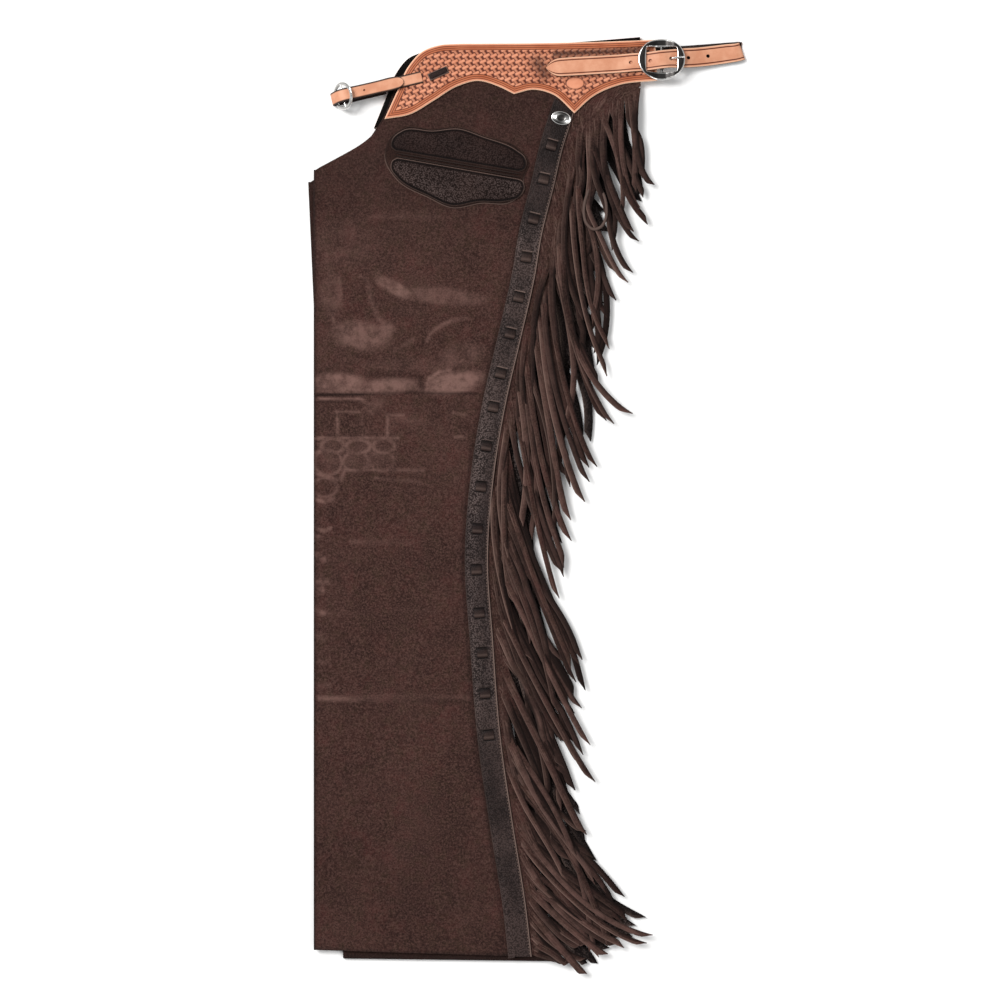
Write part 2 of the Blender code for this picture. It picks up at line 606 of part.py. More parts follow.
def make_pocket(dark, grained):
    plate("pocket_base", [outline(POCKET)], ON_LEG, POCKET_BACKING, dark)
    base = ON_LEG + POCKET_BACKING + GAP
    plate("pocket_upper", [outline(POCKET_UPPER)], base, POCKET_FACING, dark)
    plate("pocket_lower", [outline(POCKET_LOWER)], base, POCKET_FACING, grained)
    left, right = map(np.array, POCKET_MOUTH)
    along = (right - left) / np.linalg.norm(right - left)
    up = np.array([-along[1], along[0]])
    for name, offset in (("pocket_welt_upper", MOUTH_OFFSET), ("pocket_welt_lower", -MOUTH_OFFSET)):
        low, high = up * (offset - WELT_WIDTH / 2), up * (offset + WELT_WIDTH / 2)
        corners = np.array([left + low, right + low, right + high, left + high])
        plate(name, [corners], base, POCKET_FACING, dark)


def rectangle(length, width):
    return np.array([(-length / 2, -width / 2), (length / 2, -width / 2),
                     (length / 2, width / 2), (-length / 2, width / 2)])


# ---------------------------------------------------------------- back strap and buckle
def circle_points(radius_x, radius_y, count, start=0.0, turn=2 * math.pi):
    angles = start + np.arange(count) / count * turn
    return np.column_stack([radius_x * np.cos(angles), radius_y * np.sin(angles)])


def window_outline(left, right, half_height, steps=4):
    """Rectangle with spare points along its long sides, for bending."""
    across = np.linspace(left, right, steps + 1)
    bottom = np.column_stack([across, np.full(steps + 1, -half_height)])
    top = np.column_stack([across[::-1], np.full(steps + 1, half_height)])
    return np.concatenate([bottom, top])


def ring_height(x):
    """The back ring is low at its bar and rises to its two sides."""
    return RING_ARCH * float(ease(ARCH_FLAT, ARCH_FLAT + ARCH_RUN, abs(x)))


def make_back_buckle(material):
    half_window, half_bar = BACK_WINDOW[0] / 2, BACK_BAR / 2
    outlines = [circle_points(BACK_RING[0] / 2, BACK_RING[1] / 2, 40),
                window_outline(-half_window, -half_bar, BACK_WINDOW[1] / 2),
                window_outline(half_bar, half_window, BACK_WINDOW[1] / 2)]
    frame = as_mesh(plate("back_buckle_frame", outlines, 0.0, BACK_RING_THICKNESS, material))
    for vert in frame.data.vertices:
        vert.co.z += ring_height(vert.co.x / MM) * MM
    frame.location = Vector((*BACK_CENTRE, BAR_HEIGHT)) * MM
    wire("back_buckle_tongue", TONGUE_ROUTE + (BACK_CENTRE[0], 0.0, 0.0), TONGUE_DIAMETER, material)


def wire(name, points, diameter, material):
    curve = bpy.data.curves.new(name, "CURVE")
    curve.dimensions = "3D"
    curve.bevel_depth = diameter / 2 * MM
    curve.bevel_resolution = 2
    curve.use_fill_caps = True
    spline = curve.splines.new("POLY")
    spline.points.add(len(points) - 1)
    for point, place in zip(spline.points, points):
        point.co = (*[value * MM for value in place], 1.0)
    return add_object(name, curve, material)


def make_back_strap(material):
    """Pointed strap that lies on the near yoke, turns back at its fold and ends at the far yoke."""
    turn_x = BACK_UPPER[-1][0]
    angles = np.radians((60.0, 20.0, -20.0, -60.0))
    top, bottom = BACK_UPPER[-1], BACK_LOWER[0]
    middle_z, reach = (top[2] + bottom[2]) / 2, (top[2] - bottom[2]) / 2
    fold = [(turn_x + FOLD_RADIUS * math.cos(a), (top[1] + bottom[1]) / 2,
             middle_z + reach * math.sin(a), 1.0) for a in angles]
    strap = ribbon("back_billet", np.concatenate([BACK_UPPER, fold, BACK_LOWER]),
                   BACK_STRAP_WIDTH, STRAP_THICKNESS, material)
    bm = bmesh.new()
    for x in BACK_HOLES_X:
        y, z = (np.interp(x, BACK_UPPER[:, 0], BACK_UPPER[:, k]) for k in (1, 2))
        bmesh.ops.create_cone(bm, cap_ends=True, segments=10, radius1=HOLE_DIAMETER / 2 * MM,
                              radius2=HOLE_DIAMETER / 2 * MM, depth=HOLE_CUT_DEPTH * MM,
                              matrix=Matrix.Translation(Vector((x, y, z)) * MM))
    cutter = bpy.data.objects.new("strap_holes", mesh_from(bm, "strap_holes"))
    bpy.data.collections["cutters"].objects.link(cutter)
    cutter.hide_render = True
    cutter.display_type = "WIRE"
    cut = strap.modifiers.new("holes", "BOOLEAN")
    cut.operation = "DIFFERENCE"
    cut.object = cutter


def hook(centre, radius, height, first, last, count):
    """Points round a bar's middle, from the first angle to the last, in degrees."""
    return [(centre + radius * math.cos(math.radians(a)), height + radius * math.sin(math.radians(a)))
            for a in np.linspace(first, last, count)]


def make_back_chape(material):
    """Short strap from the yoke's end over the buckle's bar and round under it."""
    radius = BACK_BAR / 2 + BAR_CLEARANCE + CHAPE_THICKNESS / 2
    route = [(x, ON_YOKE + CHAPE_THICKNESS / 2 + rise) for x, rise in BACK_CHAPE_RISE]
    route += hook(BACK_CENTRE[0], radius, BAR_HEIGHT, 100.0, -90.0, 8)
    rows = np.array([(x, BACK_CHAPE_Y, z, 1.0) for x, z in route])
    ribbon("back_chape", rows, BACK_CHAPE_WIDTH, CHAPE_THICKNESS, material)


# ---------------------------------------------------------------- front strap and buckle
def front_place(along):
    """Point on the front strap's line, a distance right of the buckle's bar."""
    return (FRONT_CENTRE[0] + along * math.cos(FRONT_ANGLE),
            FRONT_CENTRE[1] + along * math.sin(FRONT_ANGLE))


def make_front_strap(tan, metal):
    route = np.array([(*front_place(s), z, share) for s, z, share in FRONT_ROUTE])
    ribbon("front_billet", route, FRONT_STRAP_WIDTH, STRAP_THICKNESS, tan)

    radius = FRONT_BAR / 2 + BAR_CLEARANCE + CHAPE_THICKNESS / 2
    path = [(s, ON_YOKE + CHAPE_THICKNESS / 2 + rise) for s, rise in FRONT_CHAPE_RISE]
    path += hook(0.0, radius, FRONT_HEIGHT, 80.0, 270.0, 8)
    rows = np.array([(*front_place(s), z, 1.0) for s, z in path])
    ribbon("front_chape", rows, FRONT_CHAPE_WIDTH, CHAPE_THICKNESS, tan)

    half_bar = FRONT_BAR / 2
    limit = math.acos(half_bar / FRONT_WINDOW_RADIUS)
    arc = np.linspace(-limit, limit, 13)
    window = np.column_stack([np.cos(arc), np.sin(arc)]) * FRONT_WINDOW_RADIUS
    outlines = [circle_points(FRONT_RING_RADIUS, FRONT_RING_RADIUS, 32), window, window * (-1, 1)]
    frame = plate("front_buckle_frame", outlines, 0.0, FRONT_RING_THICKNESS, metal)
    frame.location = Vector((*FRONT_CENTRE, FRONT_HEIGHT)) * MM
    frame.rotation_euler = (0.0, -FRONT_TILT, FRONT_ANGLE)


# ---------------------------------------------------------------- the whole
def clear_scene():
    for item in list(bpy.data.objects):
        bpy.data.objects.remove(item)


def main():
    clear_scene()
    for name in (COLLECTION, "cutters"):
        bpy.context.scene.collection.children.link(bpy.data.collections.new(name))
    suede = make_material("suede", (0.075, 0.042, 0.035), 0.95)
    dark = make_material("dark_leather", (0.032, 0.023, 0.021), 0.6)
    grained = make_material("grained_leather", (0.045, 0.036, 0.034), 0.7)
    tan = make_material("tan_leather", (0.70, 0.36, 0.20), 0.55)
    nickel = make_material("nickel", (0.72, 0.72, 0.70), 0.22, 1.0)

    far = bpy.data.objects.new("far_side", None)
    bpy.data.collections[COLLECTION].objects.link(far)
    far.location = (PIVOT[0] * MM, PIVOT[1] * MM, 0.0)
    far.rotation_euler.z = FAR_TURN

    make_leg("leg_far", FAR_HEM, far_height, FAR_INNER, suede, far)
    make_leg("leg_near", NEAR_HEM, near_height, NEAR_INNER, suede)
    make_fringe("fringe_far", FAR_STRANDS, (far_height, far_height, FAR_LEVEL), FAR_REACH, {},
                suede, far)
    make_fringe("fringe_near", NEAR_STRANDS, (near_flat, near_edge_height, NEAR_LEVEL), 1.0, STRAYS,
                suede)

    far_yoke = outline(YOKE) + FAR_YOKE_SHIFT
    plate("yoke_far", [far_yoke], 0.0, FAR_YOKE_THICKNESS, tan, far)
    plate("yoke_lining_far", [far_yoke], LINING_BASE, LINING_THICKNESS, dark, far)
    plate("yoke_near", [outline(YOKE)], ON_LEG, YOKE_THICKNESS, tan)
    tab = plate("yoke_tab", [rectangle(*TAB_SIZE[:2])], ON_YOKE, TAB_SIZE[2], dark)
    tab.location.x, tab.location.y = TAB_CENTRE[0] * MM, TAB_CENTRE[1] * MM
    tab.rotation_euler.z = TAB_TURN

    plate("trim_strip", [strip_outline()], ON_LEG, STRIP_THICKNESS, grained)
    make_laces(dark)
    make_concho(nickel)
    make_pocket(dark, grained)
    make_back_strap(tan)
    make_back_chape(tan)
    make_back_buckle(nickel)
    make_front_strap(tan, nickel)


main()
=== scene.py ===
# %% [markdown]
# # A pair of fringed leather chaps, laid flat
# The solids of the chaps are already there as a frame. This lesson dresses them: suede with its
# nap and rub marks, stamped tan leather, dark pebbled trim, laces, fringe and nickel. All tables
# are in millimetres, and MM turns them into metres when a mesh is made. +X runs from a leg's
# front fold to its fringed seam, +Y from hem to waist, and +Z up from the table.

# %% Load the frame
import math
import bpy
import numpy as np
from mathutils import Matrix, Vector


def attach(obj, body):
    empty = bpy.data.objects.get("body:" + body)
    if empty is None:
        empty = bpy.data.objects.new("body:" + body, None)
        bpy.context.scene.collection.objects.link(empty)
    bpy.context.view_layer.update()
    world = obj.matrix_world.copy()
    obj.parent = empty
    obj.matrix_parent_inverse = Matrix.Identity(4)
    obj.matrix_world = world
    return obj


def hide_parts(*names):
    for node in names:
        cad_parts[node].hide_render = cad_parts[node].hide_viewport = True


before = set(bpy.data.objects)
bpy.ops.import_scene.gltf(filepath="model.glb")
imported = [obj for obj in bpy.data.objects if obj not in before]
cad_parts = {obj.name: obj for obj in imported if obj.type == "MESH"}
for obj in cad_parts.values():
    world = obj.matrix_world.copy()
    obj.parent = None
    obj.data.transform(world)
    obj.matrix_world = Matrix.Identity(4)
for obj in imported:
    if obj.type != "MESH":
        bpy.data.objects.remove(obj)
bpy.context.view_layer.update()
MM = 0.001
print("solids in the frame:", len(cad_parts))

# %% [markdown]
# ## Camera and light
# The chaps lie on a pale table and are seen from straight above. A long lens from 2.7 m keeps
# the hem and the yoke at one scale. A soft panel at the upper left and a weaker one across from
# it model the folds, and the white room fills the rest.

# %% Camera and light
VIEW_CENTRE = (-29.1, 6.8)
VIEW_HEIGHT = 2700.0
camera_data = bpy.data.cameras.new("overhead")
camera_data.lens = 85.0
camera_data.clip_end = 20.0
camera = bpy.data.objects.new("overhead", camera_data)
camera.location = Vector((*VIEW_CENTRE, VIEW_HEIGHT)) * MM
bpy.context.scene.collection.objects.link(camera)
bpy.context.scene.camera = camera

world = bpy.data.worlds.new("white_room")
world.use_nodes = True
world.node_tree.nodes["Background"].inputs["Color"].default_value = (0.98, 0.985, 1.0, 1.0)
world.node_tree.nodes["Background"].inputs["Strength"].default_value = 0.45
bpy.context.scene.world = world
bpy.context.scene.view_settings.view_transform = "Standard"


def soft_panel(name, place, size, power):
    """Square area light at a place in metres, facing the middle of the chaps."""
    data = bpy.data.lights.new(name, "AREA")
    data.size = size
    data.energy = power
    lamp = bpy.data.objects.new(name, data)
    lamp.location = place
    lamp.rotation_euler = (-Vector(place)).to_track_quat("-Z", "Y").to_euler()
    bpy.context.scene.collection.objects.link(lamp)


soft_panel("key_panel", (-2.1, 1.4, 3.3), 1.9, 182.0)
soft_panel("far_panel", (1.9, -1.2, 2.2), 1.6, 22.0)
print("camera height in metres:", VIEW_HEIGHT * MM)

# %% [markdown]
# ## Curves in numbers
# Most shapes here start as a short table of points. A smooth curve through the rows gives every
# value in between, and an eased step fades one thing into another.

# %% Curve helpers
rng = np.random.default_rng(11)


def smooth_curve(position, value, wanted):
    """Cubic curve through the rows: each end of a span starts with the slope of its neighbours."""
    position, value, wanted = map(np.asarray, (position, value, wanted))
    slopes = np.gradient(value, position, axis=0)
    i = np.clip(np.searchsorted(position, wanted, side="right") - 1, 0, len(position) - 2)
    span = position[i + 1] - position[i]
    t = np.clip((wanted - position[i]) / span, 0.0, 1.0)
    if value.ndim > 1:
        t, span = t[..., None], span[..., None]
    rise = value[i + 1] - value[i]
    start, end = slopes[i] * span - rise, rise - slopes[i + 1] * span
    return value[i] + t * rise + t * (1 - t) * ((1 - t) * start + t * end)


def ease(low, high, value):
    """Smooth step: 3 t squared minus 2 t cubed, with t the share of the way from low to high."""
    t = np.clip((np.asarray(value, dtype=float) - low) / (high - low), 0.0, 1.0)
    return t * t * (3 - 2 * t)


def bell(value, centre, width):
    """1 at the centre, and e to minus the square of the distance from it over the width."""
    return np.exp(-((value - centre) / width) ** 2)


def along_across(dx, dy, turn):
    """Parts of an offset along a direction, given as an angle, and across it."""
    cos, sin = math.cos(turn), math.sin(turn)
    return dx * cos + dy * sin, dy * cos - dx * sin


def run_lengths(points):
    """Distance along a line of points to each of them."""
    steps = np.linalg.norm(np.diff(points, axis=0), axis=1)
    return np.concatenate([[0.0], np.cumsum(steps)])


def outline(knots, step=1.5):
    """Closed outline with a point every step: smooth through the knots, broken at each corner."""
    first = next((i for i, knot in enumerate(knots) if knot[2]), 0)
    ordered = list(knots[first:]) + list(knots[:first + 1])
    if not any(knot[2] for knot in knots):
        loop = np.array([knot[:2] for knot in list(knots[-3:]) + list(knots) + list(knots[:4])])
        distance = run_lengths(loop)
        low, high = distance[3], distance[3 + len(knots)]
        wanted = np.linspace(low, high, int((high - low) / step), endpoint=False)
        return smooth_curve(distance, loop, wanted)
    parts, stretch = [], [ordered[0][:2]]
    for knot in ordered[1:]:
        stretch.append(knot[:2])
        if knot[2]:
            points = np.array(stretch)
            distance = run_lengths(points)
            count = max(int(distance[-1] / step), 2)
            wanted = np.linspace(0, distance[-1], count, endpoint=False)
            parts.append(smooth_curve(distance, points, wanted) if len(points) > 2 else
                         points[0] + (points[1] - points[0]) * (wanted / distance[-1])[:, None])
            stretch = [knot[:2]]
    return np.concatenate(parts)


def edge_distance(flat, loop):
    """Shortest distance from every flat point to a closed loop's segments."""
    start, along = loop, np.roll(loop, -1, axis=0) - loop
    length = np.maximum((along ** 2).sum(axis=1), 1e-9)
    best = np.full(flat.shape[:-1], 1e9)
    for a, d, size in zip(start, along, length):
        offset = flat - a
        share = np.clip((offset @ d) / size, 0.0, 1.0)
        best = np.minimum(best, np.hypot(*np.moveaxis(offset - share[..., None] * d, -1, 0)))
    return best


print("an eased half is", float(ease(0, 1, 0.5)))

# %% [markdown]
# ## From arrays to pieces
# A grid of points becomes quads with one array of point numbers. Every piece here is closed: a
# plate gets a wall and an underside, a strap or a strand gets end caps. The sign of the volume
# says whether the faces point outwards, and if they don't, all of them are turned.

# %% Mesh helpers
BODY = "root"


def grid_quads(rows, columns, ring=False, closed=False):
    """Point numbers of the quads of a grid; a ring joins its last column to its first, and a
    closed grid joins its last row to its first too."""
    row, column = np.mgrid[0:rows if closed else rows - 1, 0:columns if ring else columns - 1]
    after, beside = (row + 1) % rows, (column + 1) % columns
    return np.stack([row * columns + column, row * columns + beside,
                     after * columns + beside, after * columns + column], axis=-1).reshape(-1, 4)


def tube_faces(rings, corners, tubes=1):
    """Faces of tubes that lie one after the other in an array of tube by ring by corner: the
    quads round and along them, and a cap with one face at each end."""
    starts = np.arange(tubes) * rings * corners
    quads = grid_quads(rings, corners, ring=True)[None] + starts[:, None, None]
    first = [(start + np.arange(corners)[::-1]).tolist() for start in starts]
    last = [(start + (rings - 1) * corners + np.arange(corners)).tolist() for start in starts]
    return [quads.reshape(-1, 4), first + last]


def move_faces(faces, start):
    """The same faces with all point numbers raised by start."""
    return [block + start if hasattr(block, "shape") else [[n + start for n in face] for face in block]
            for block in faces]


def make_piece(name, points, faces, material, slot, nodes=(), sharp=40.0, **masks):
    """Mesh object from points in millimetres and lists of faces, with one value mask per name."""
    points = np.asarray(points, dtype=float).reshape(-1, 3)
    quads = [face for block in faces for face in (block.tolist() if hasattr(block, "tolist") else block)]
    mesh = bpy.data.meshes.new(name)
    mesh.from_pydata((points * MM).tolist(), [], quads)
    corners = np.empty(len(mesh.loops), dtype=np.int32)
    mesh.loops.foreach_get("vertex_index", corners)
    starts = np.empty(len(mesh.polygons), dtype=np.int32)
    mesh.polygons.foreach_get("loop_start", starts)
    totals = np.empty(len(mesh.polygons), dtype=np.int32)
    mesh.polygons.foreach_get("loop_total", totals)
    face_of = np.repeat(np.arange(len(totals)), totals)
    place = np.arange(len(corners)) - starts[face_of]
    last = place == totals[face_of] - 1
    following = np.where(last, corners[starts[face_of]], np.roll(corners, -1))
    centred = points - points.mean(axis=0)
    anchor = centred[corners[starts[face_of]]]
    volume = np.einsum("ij,ij->i", anchor, np.cross(centred[corners], centred[following])).sum()
    if volume < 0:
        mesh.flip_normals()
    for mask, value in masks.items():
        layer = mesh.attributes.new(mask, "FLOAT", "POINT")
        layer.data.foreach_set("value", np.asarray(value, dtype=np.float32).ravel())
    mesh.shade_smooth()
    mesh.set_sharp_from_angle(angle=math.radians(sharp))
    mesh.materials.append(material)
    piece = bpy.data.objects.new(name, mesh)
    bpy.context.scene.collection.objects.link(piece)
    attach(piece, BODY)
    if nodes:
        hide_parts(*nodes)
    return piece


def rod(points, radius, sides=12):
    """Round bar along points: a circle at right angles to the line at each of them."""
    points = np.asarray(points, dtype=float)
    forward = np.gradient(points, axis=0)
    forward /= np.linalg.norm(forward, axis=1)[:, None]
    side = np.cross(forward, (0.0, 0.0, 1.0) if np.abs(forward[:, 2]).max() < 0.95 else (0.0, 1.0, 0.0))
    side /= np.linalg.norm(side, axis=1)[:, None]
    up = np.cross(side, forward)
    angles = np.linspace(0, 2 * math.pi, sides, endpoint=False)
    radius = np.broadcast_to(radius, len(points))[:, None, None]
    ring = side[:, None] * np.cos(angles)[None, :, None] + up[:, None] * np.sin(angles)[None, :, None]
    return points[:, None] + ring * radius, tube_faces(len(points), sides)


def relief_plate(name, flat, top, base, material, slot, nodes=(), ring=False, **masks):
    """Closed plate: a grid of flat points raised to its top heights, with a wall from its rim
    down to the base height and one flat face under it. A ring grid has its rim in row 0."""
    rows, columns = flat.shape[:2]
    number = np.arange(rows * columns).reshape(rows, columns)
    if ring:
        rim = number[0]
        inner = [number[-1].tolist()]
    else:
        rim = np.concatenate([number[0, :-1], number[:-1, -1], number[-1, :0:-1], number[:0:-1, 0]])
        inner = []
    surface = np.concatenate([flat, top[..., None]], axis=-1).reshape(-1, 3)
    foot = surface[rim].copy()
    foot[:, 2] = base
    under = np.arange(len(rim)) + len(surface)
    wall = np.stack([np.roll(rim, -1), rim, under, np.roll(under, -1)], axis=-1)
    masks = {key: np.concatenate([value.ravel(), value.ravel()[rim]]) for key, value in masks.items()}
    return make_piece(name, np.concatenate([surface, foot]),
                      [grid_quads(rows, columns, ring), inner, wall, [under[::-1].tolist()]],
                      material, slot, nodes, **masks)


def ring_grid(loop, insets):
    """Rings of a plate's outline, each drawn in towards its middle by a share of 0 to 1."""
    middle = (loop.max(axis=0) + loop.min(axis=0)) / 2
    return middle + (loop - middle) * (1 - np.asarray(insets))[:, None, None]


print("a 3 by 4 grid has", len(grid_quads(3, 4)), "quads")

# %% [markdown]
# ## Node shorthand
# A material is a small graph. These helpers add one node at a time and link or set each input,
# so that a finish reads as a recipe. Colours are written as they look on a screen, 0 to 255.

# %% Node helpers


def screen(red, green, blue):
    """Screen colour, 0 to 255, as a linear colour with full alpha."""
    share = np.array([red, green, blue]) / 255.0
    linear = np.where(share <= 0.04045, share / 12.92, ((share + 0.055) / 1.055) ** 2.4)
    return (*linear.tolist(), 1.0)


def put(tree, socket, value):
    """Link a socket to an input, or set the input to a plain value."""
    if isinstance(value, bpy.types.NodeSocket):
        tree.links.new(value, socket)
    else:
        socket.default_value = value


def node(tree, kind, settings=None, **inputs):
    """New node; an input's name has _ for a space, and its value is a number or a socket."""
    made = tree.nodes.new(kind)
    for key, value in (settings or {}).items():
        setattr(made, key, value)
    for key, value in inputs.items():
        put(tree, made.inputs[key.replace("_", " ")], value)
    return made


def math_node(tree, operation, a, b=0.0, c=0.0):
    made = node(tree, "ShaderNodeMath", {"operation": operation})
    for socket, value in zip(made.inputs, (a, b, c)):
        put(tree, socket, value)
    return made.outputs[0]


def mix_colour(tree, factor, a, b, blend="MIX"):
    made = node(tree, "ShaderNodeMix", {"data_type": "RGBA", "blend_type": blend})
    for index, value in ((0, factor), (6, a), (7, b)):
        put(tree, made.inputs[index], value)
    return made.outputs[2]


def spread(tree, value, low, high, to_low=0.0, to_high=1.0):
    """Stretch a value's range from low..high to to_low..to_high, smoothly and clamped."""
    made = node(tree, "ShaderNodeMapRange", {"interpolation_type": "SMOOTHSTEP"})
    for index, number in enumerate((value, low, high, to_low, to_high)):
        put(tree, made.inputs[index], number)
    return made.outputs[0]


def noise(tree, place, scale, detail=3.0, roughness=0.55):
    """Noise at a place, with its scale in waves per metre."""
    return node(tree, "ShaderNodeTexNoise", None, Vector=place, Scale=scale, Detail=detail,
                Roughness=roughness).outputs["Fac"]


def mask_of(tree, name):
    """Value that a piece's points carry under this name."""
    return node(tree, "ShaderNodeAttribute", {"attribute_name": name}).outputs["Fac"]


def tint(tree, colour, **tones):
    """Lay tones over a colour, one after the other, each where the mask of its name says so."""
    for mask, tone in tones.items():
        colour = mix_colour(tree, mask_of(tree, mask), colour, tone)
    return colour


def start_material(name, roughness=0.6, metallic=0.0):
    """Empty procedural material: its tree, its shader and the object's own coordinates."""
    material = bpy.data.materials.new(name)
    material.use_nodes = True
    tree = material.node_tree
    shader = tree.nodes["Principled BSDF"]
    shader.inputs["Roughness"].default_value = roughness
    shader.inputs["Metallic"].default_value = metallic
    place = tree.nodes.new("ShaderNodeTexCoord").outputs["Object"]
    return material, tree, shader, place


def finish_material(tree, shader, colour, roughness, height, depth):
    """Link colour and roughness, and a height in millimetres as a bump."""
    put(tree, shader.inputs["Base Color"], colour)
    put(tree, shader.inputs["Roughness"], roughness)
    bump = node(tree, "ShaderNodeBump", None, Strength=1.0, Distance=depth * MM, Height=height)
    tree.links.new(bump.outputs["Normal"], shader.inputs["Normal"])


print("screen grey 128 is", round(screen(128, 128, 128)[0], 3))

# %% [markdown]
# ## Shared effects
# Three effects turn up in several finishes, so each is a node group. Nap is the short fibre of
# suede: fine speckle, clouds where a hand has brushed it, and a low height. Pebble is the grain
# of shrunken leather, round cells with creases between them. Veg is the faint cloudiness of
# vegetable tanned leather.

# %% Node groups


def start_group(name, outputs):
    """Group with a Place input and a Size input, in cells per metre, and the named outputs."""
    group = bpy.data.node_groups.new(name, "ShaderNodeTree")
    group.interface.new_socket(name="Place", in_out="INPUT", socket_type="NodeSocketVector")
    group.interface.new_socket(name="Size", in_out="INPUT", socket_type="NodeSocketFloat")
    for output in outputs:
        group.interface.new_socket(name=output, in_out="OUTPUT", socket_type="NodeSocketFloat")
    return group, group.nodes.new("NodeGroupInput"), group.nodes.new("NodeGroupOutput")


nap, enter, leave = start_group("suede_nap", ("Speckle", "Cloud", "Height"))
size = enter.outputs["Size"]
fine = noise(nap, enter.outputs["Place"], size, 4.0, 0.7)
cloud = noise(nap, enter.outputs["Place"], math_node(nap, "MULTIPLY", size, 0.055), 5.0, 0.62)
lie = noise(nap, enter.outputs["Place"], math_node(nap, "MULTIPLY", size, 0.22), 3.0, 0.6)
put(nap, leave.inputs["Speckle"], spread(nap, fine, 0.38, 0.68))
put(nap, leave.inputs["Cloud"], spread(nap, cloud, 0.36, 0.66))
put(nap, leave.inputs["Height"], math_node(nap, "MULTIPLY_ADD", lie, 0.8, fine))

pebble, enter, leave = start_group("pebble_grain", ("Cells", "Crease"))
wander = node(pebble, "ShaderNodeTexNoise", None, Vector=enter.outputs["Place"],
              Scale=math_node(pebble, "MULTIPLY", enter.outputs["Size"], 0.35))
bent = node(pebble, "ShaderNodeVectorMath", {"operation": "MULTIPLY_ADD"})
put(pebble, bent.inputs[0], wander.outputs["Color"])
put(pebble, bent.inputs[1], (0.0012, 0.0012, 0.0012))
put(pebble, bent.inputs[2], enter.outputs["Place"])
cells = node(pebble, "ShaderNodeTexVoronoi", {"feature": "SMOOTH_F1"}, Vector=bent.outputs[0],
             Scale=enter.outputs["Size"], Smoothness=0.35)
put(pebble, leave.inputs["Cells"], spread(pebble, cells.outputs["Distance"], 0.75, 0.1))
put(pebble, leave.inputs["Crease"], spread(pebble, cells.outputs["Distance"], 0.45, 0.7))

veg, enter, leave = start_group("veg_tan_cloud", ("Cloud", "Fibre"))
put(veg, leave.inputs["Cloud"], spread(veg, noise(veg, enter.outputs["Place"],
                                                  enter.outputs["Size"], 4.0, 0.6), 0.3, 0.7))
put(veg, leave.inputs["Fibre"], noise(veg, enter.outputs["Place"],
                                      math_node(veg, "MULTIPLY", enter.outputs["Size"], 14.0)))


def place_group(tree, group, place, size):
    made = tree.nodes.new("ShaderNodeGroup")
    made.node_tree = group
    put(tree, made.inputs["Place"], place)
    made.inputs["Size"].default_value = size
    return made.outputs


print("groups:", nap.name, pebble.name, veg.name)

# %% [markdown]
# ## Suede and dark leather
# Suede is the flesh side of the hide. Its colour is a dark chocolate with mauve and red in it,
# lighter where it has been rubbed. It has no gloss, only a soft sheen at grazing angles. The far
# fringe and the trim show the grain side of the same hide, almost black and slightly glossy.

# %% Suede and dark leather


def suede_material(name, dark, middle, light, edge_colour, streaks=0.0):
    """Nap over three browns; the masks rub, crease and edge lighten or darken it. Rub is wear; crease
    darkens creases and paints shade, and edge paints pale cut edges and, on the fringe, a highlight on the
    lit side. Streaks are fine lines down a strip: a noise of its masks across and run, long along the run."""
    material, tree, shader, place = start_material(name)
    fibre = place_group(tree, nap, place, 460.0)
    broad = noise(tree, place, 9.0, 4.0, 0.6)
    colour = mix_colour(tree, fibre["Cloud"], dark, middle)
    colour = mix_colour(tree, spread(tree, broad, 0.42, 0.68, 0.0, 0.22), colour, light)
    red = spread(tree, noise(tree, place, 31.0, 3.0, 0.7), 0.46, 0.7, 0.0, 0.42)
    colour = mix_colour(tree, red, colour, screen(76, 42, 39))
    olive = spread(tree, noise(tree, place, 74.0, 4.0, 0.7), 0.46, 0.66, 0.0, 0.62)
    colour = mix_colour(tree, olive, colour, screen(50, 37, 28))
    colour = mix_colour(tree, math_node(tree, "MULTIPLY", fibre["Speckle"], 0.8), colour, light)
    pits = spread(tree, noise(tree, place, 640.0, 2.0, 0.6), 0.5, 0.64, 0.0, 0.6)
    colour = mix_colour(tree, pits, colour, screen(28, 17, 15))
    if streaks:
        down = math_node(tree, "MULTIPLY", mask_of(tree, "run"), 0.05)
        lay = node(tree, "ShaderNodeCombineXYZ", None, X=mask_of(tree, "across"), Y=down).outputs[0]
        lines = noise(tree, lay, 0.75, 3.0, 0.6)
        colour = mix_colour(tree, spread(tree, lines, 0.5, 0.72, 0.0, streaks), colour, edge_colour)
        colour = mix_colour(tree, spread(tree, lines, 0.48, 0.3, 0.0, streaks), colour, screen(26, 17, 15))
    patchy = spread(tree, noise(tree, place, 62.0, 8.0, 0.72), 0.36, 0.6, 0.3, 1.0)
    rub = math_node(tree, "MULTIPLY", mask_of(tree, "rub"), patchy)
    colour = mix_colour(tree, rub, colour, screen(126, 96, 88))
    colour = tint(tree, colour, edge=edge_colour, crease=screen(16, 10, 9))
    shader.inputs["Sheen Weight"].default_value = 0.03
    shader.inputs["Sheen Roughness"].default_value = 0.6
    shader.inputs["Specular IOR Level"].default_value = 0.04
    finish_material(tree, shader, colour, 0.95, fibre["Height"], 0.4)
    return material


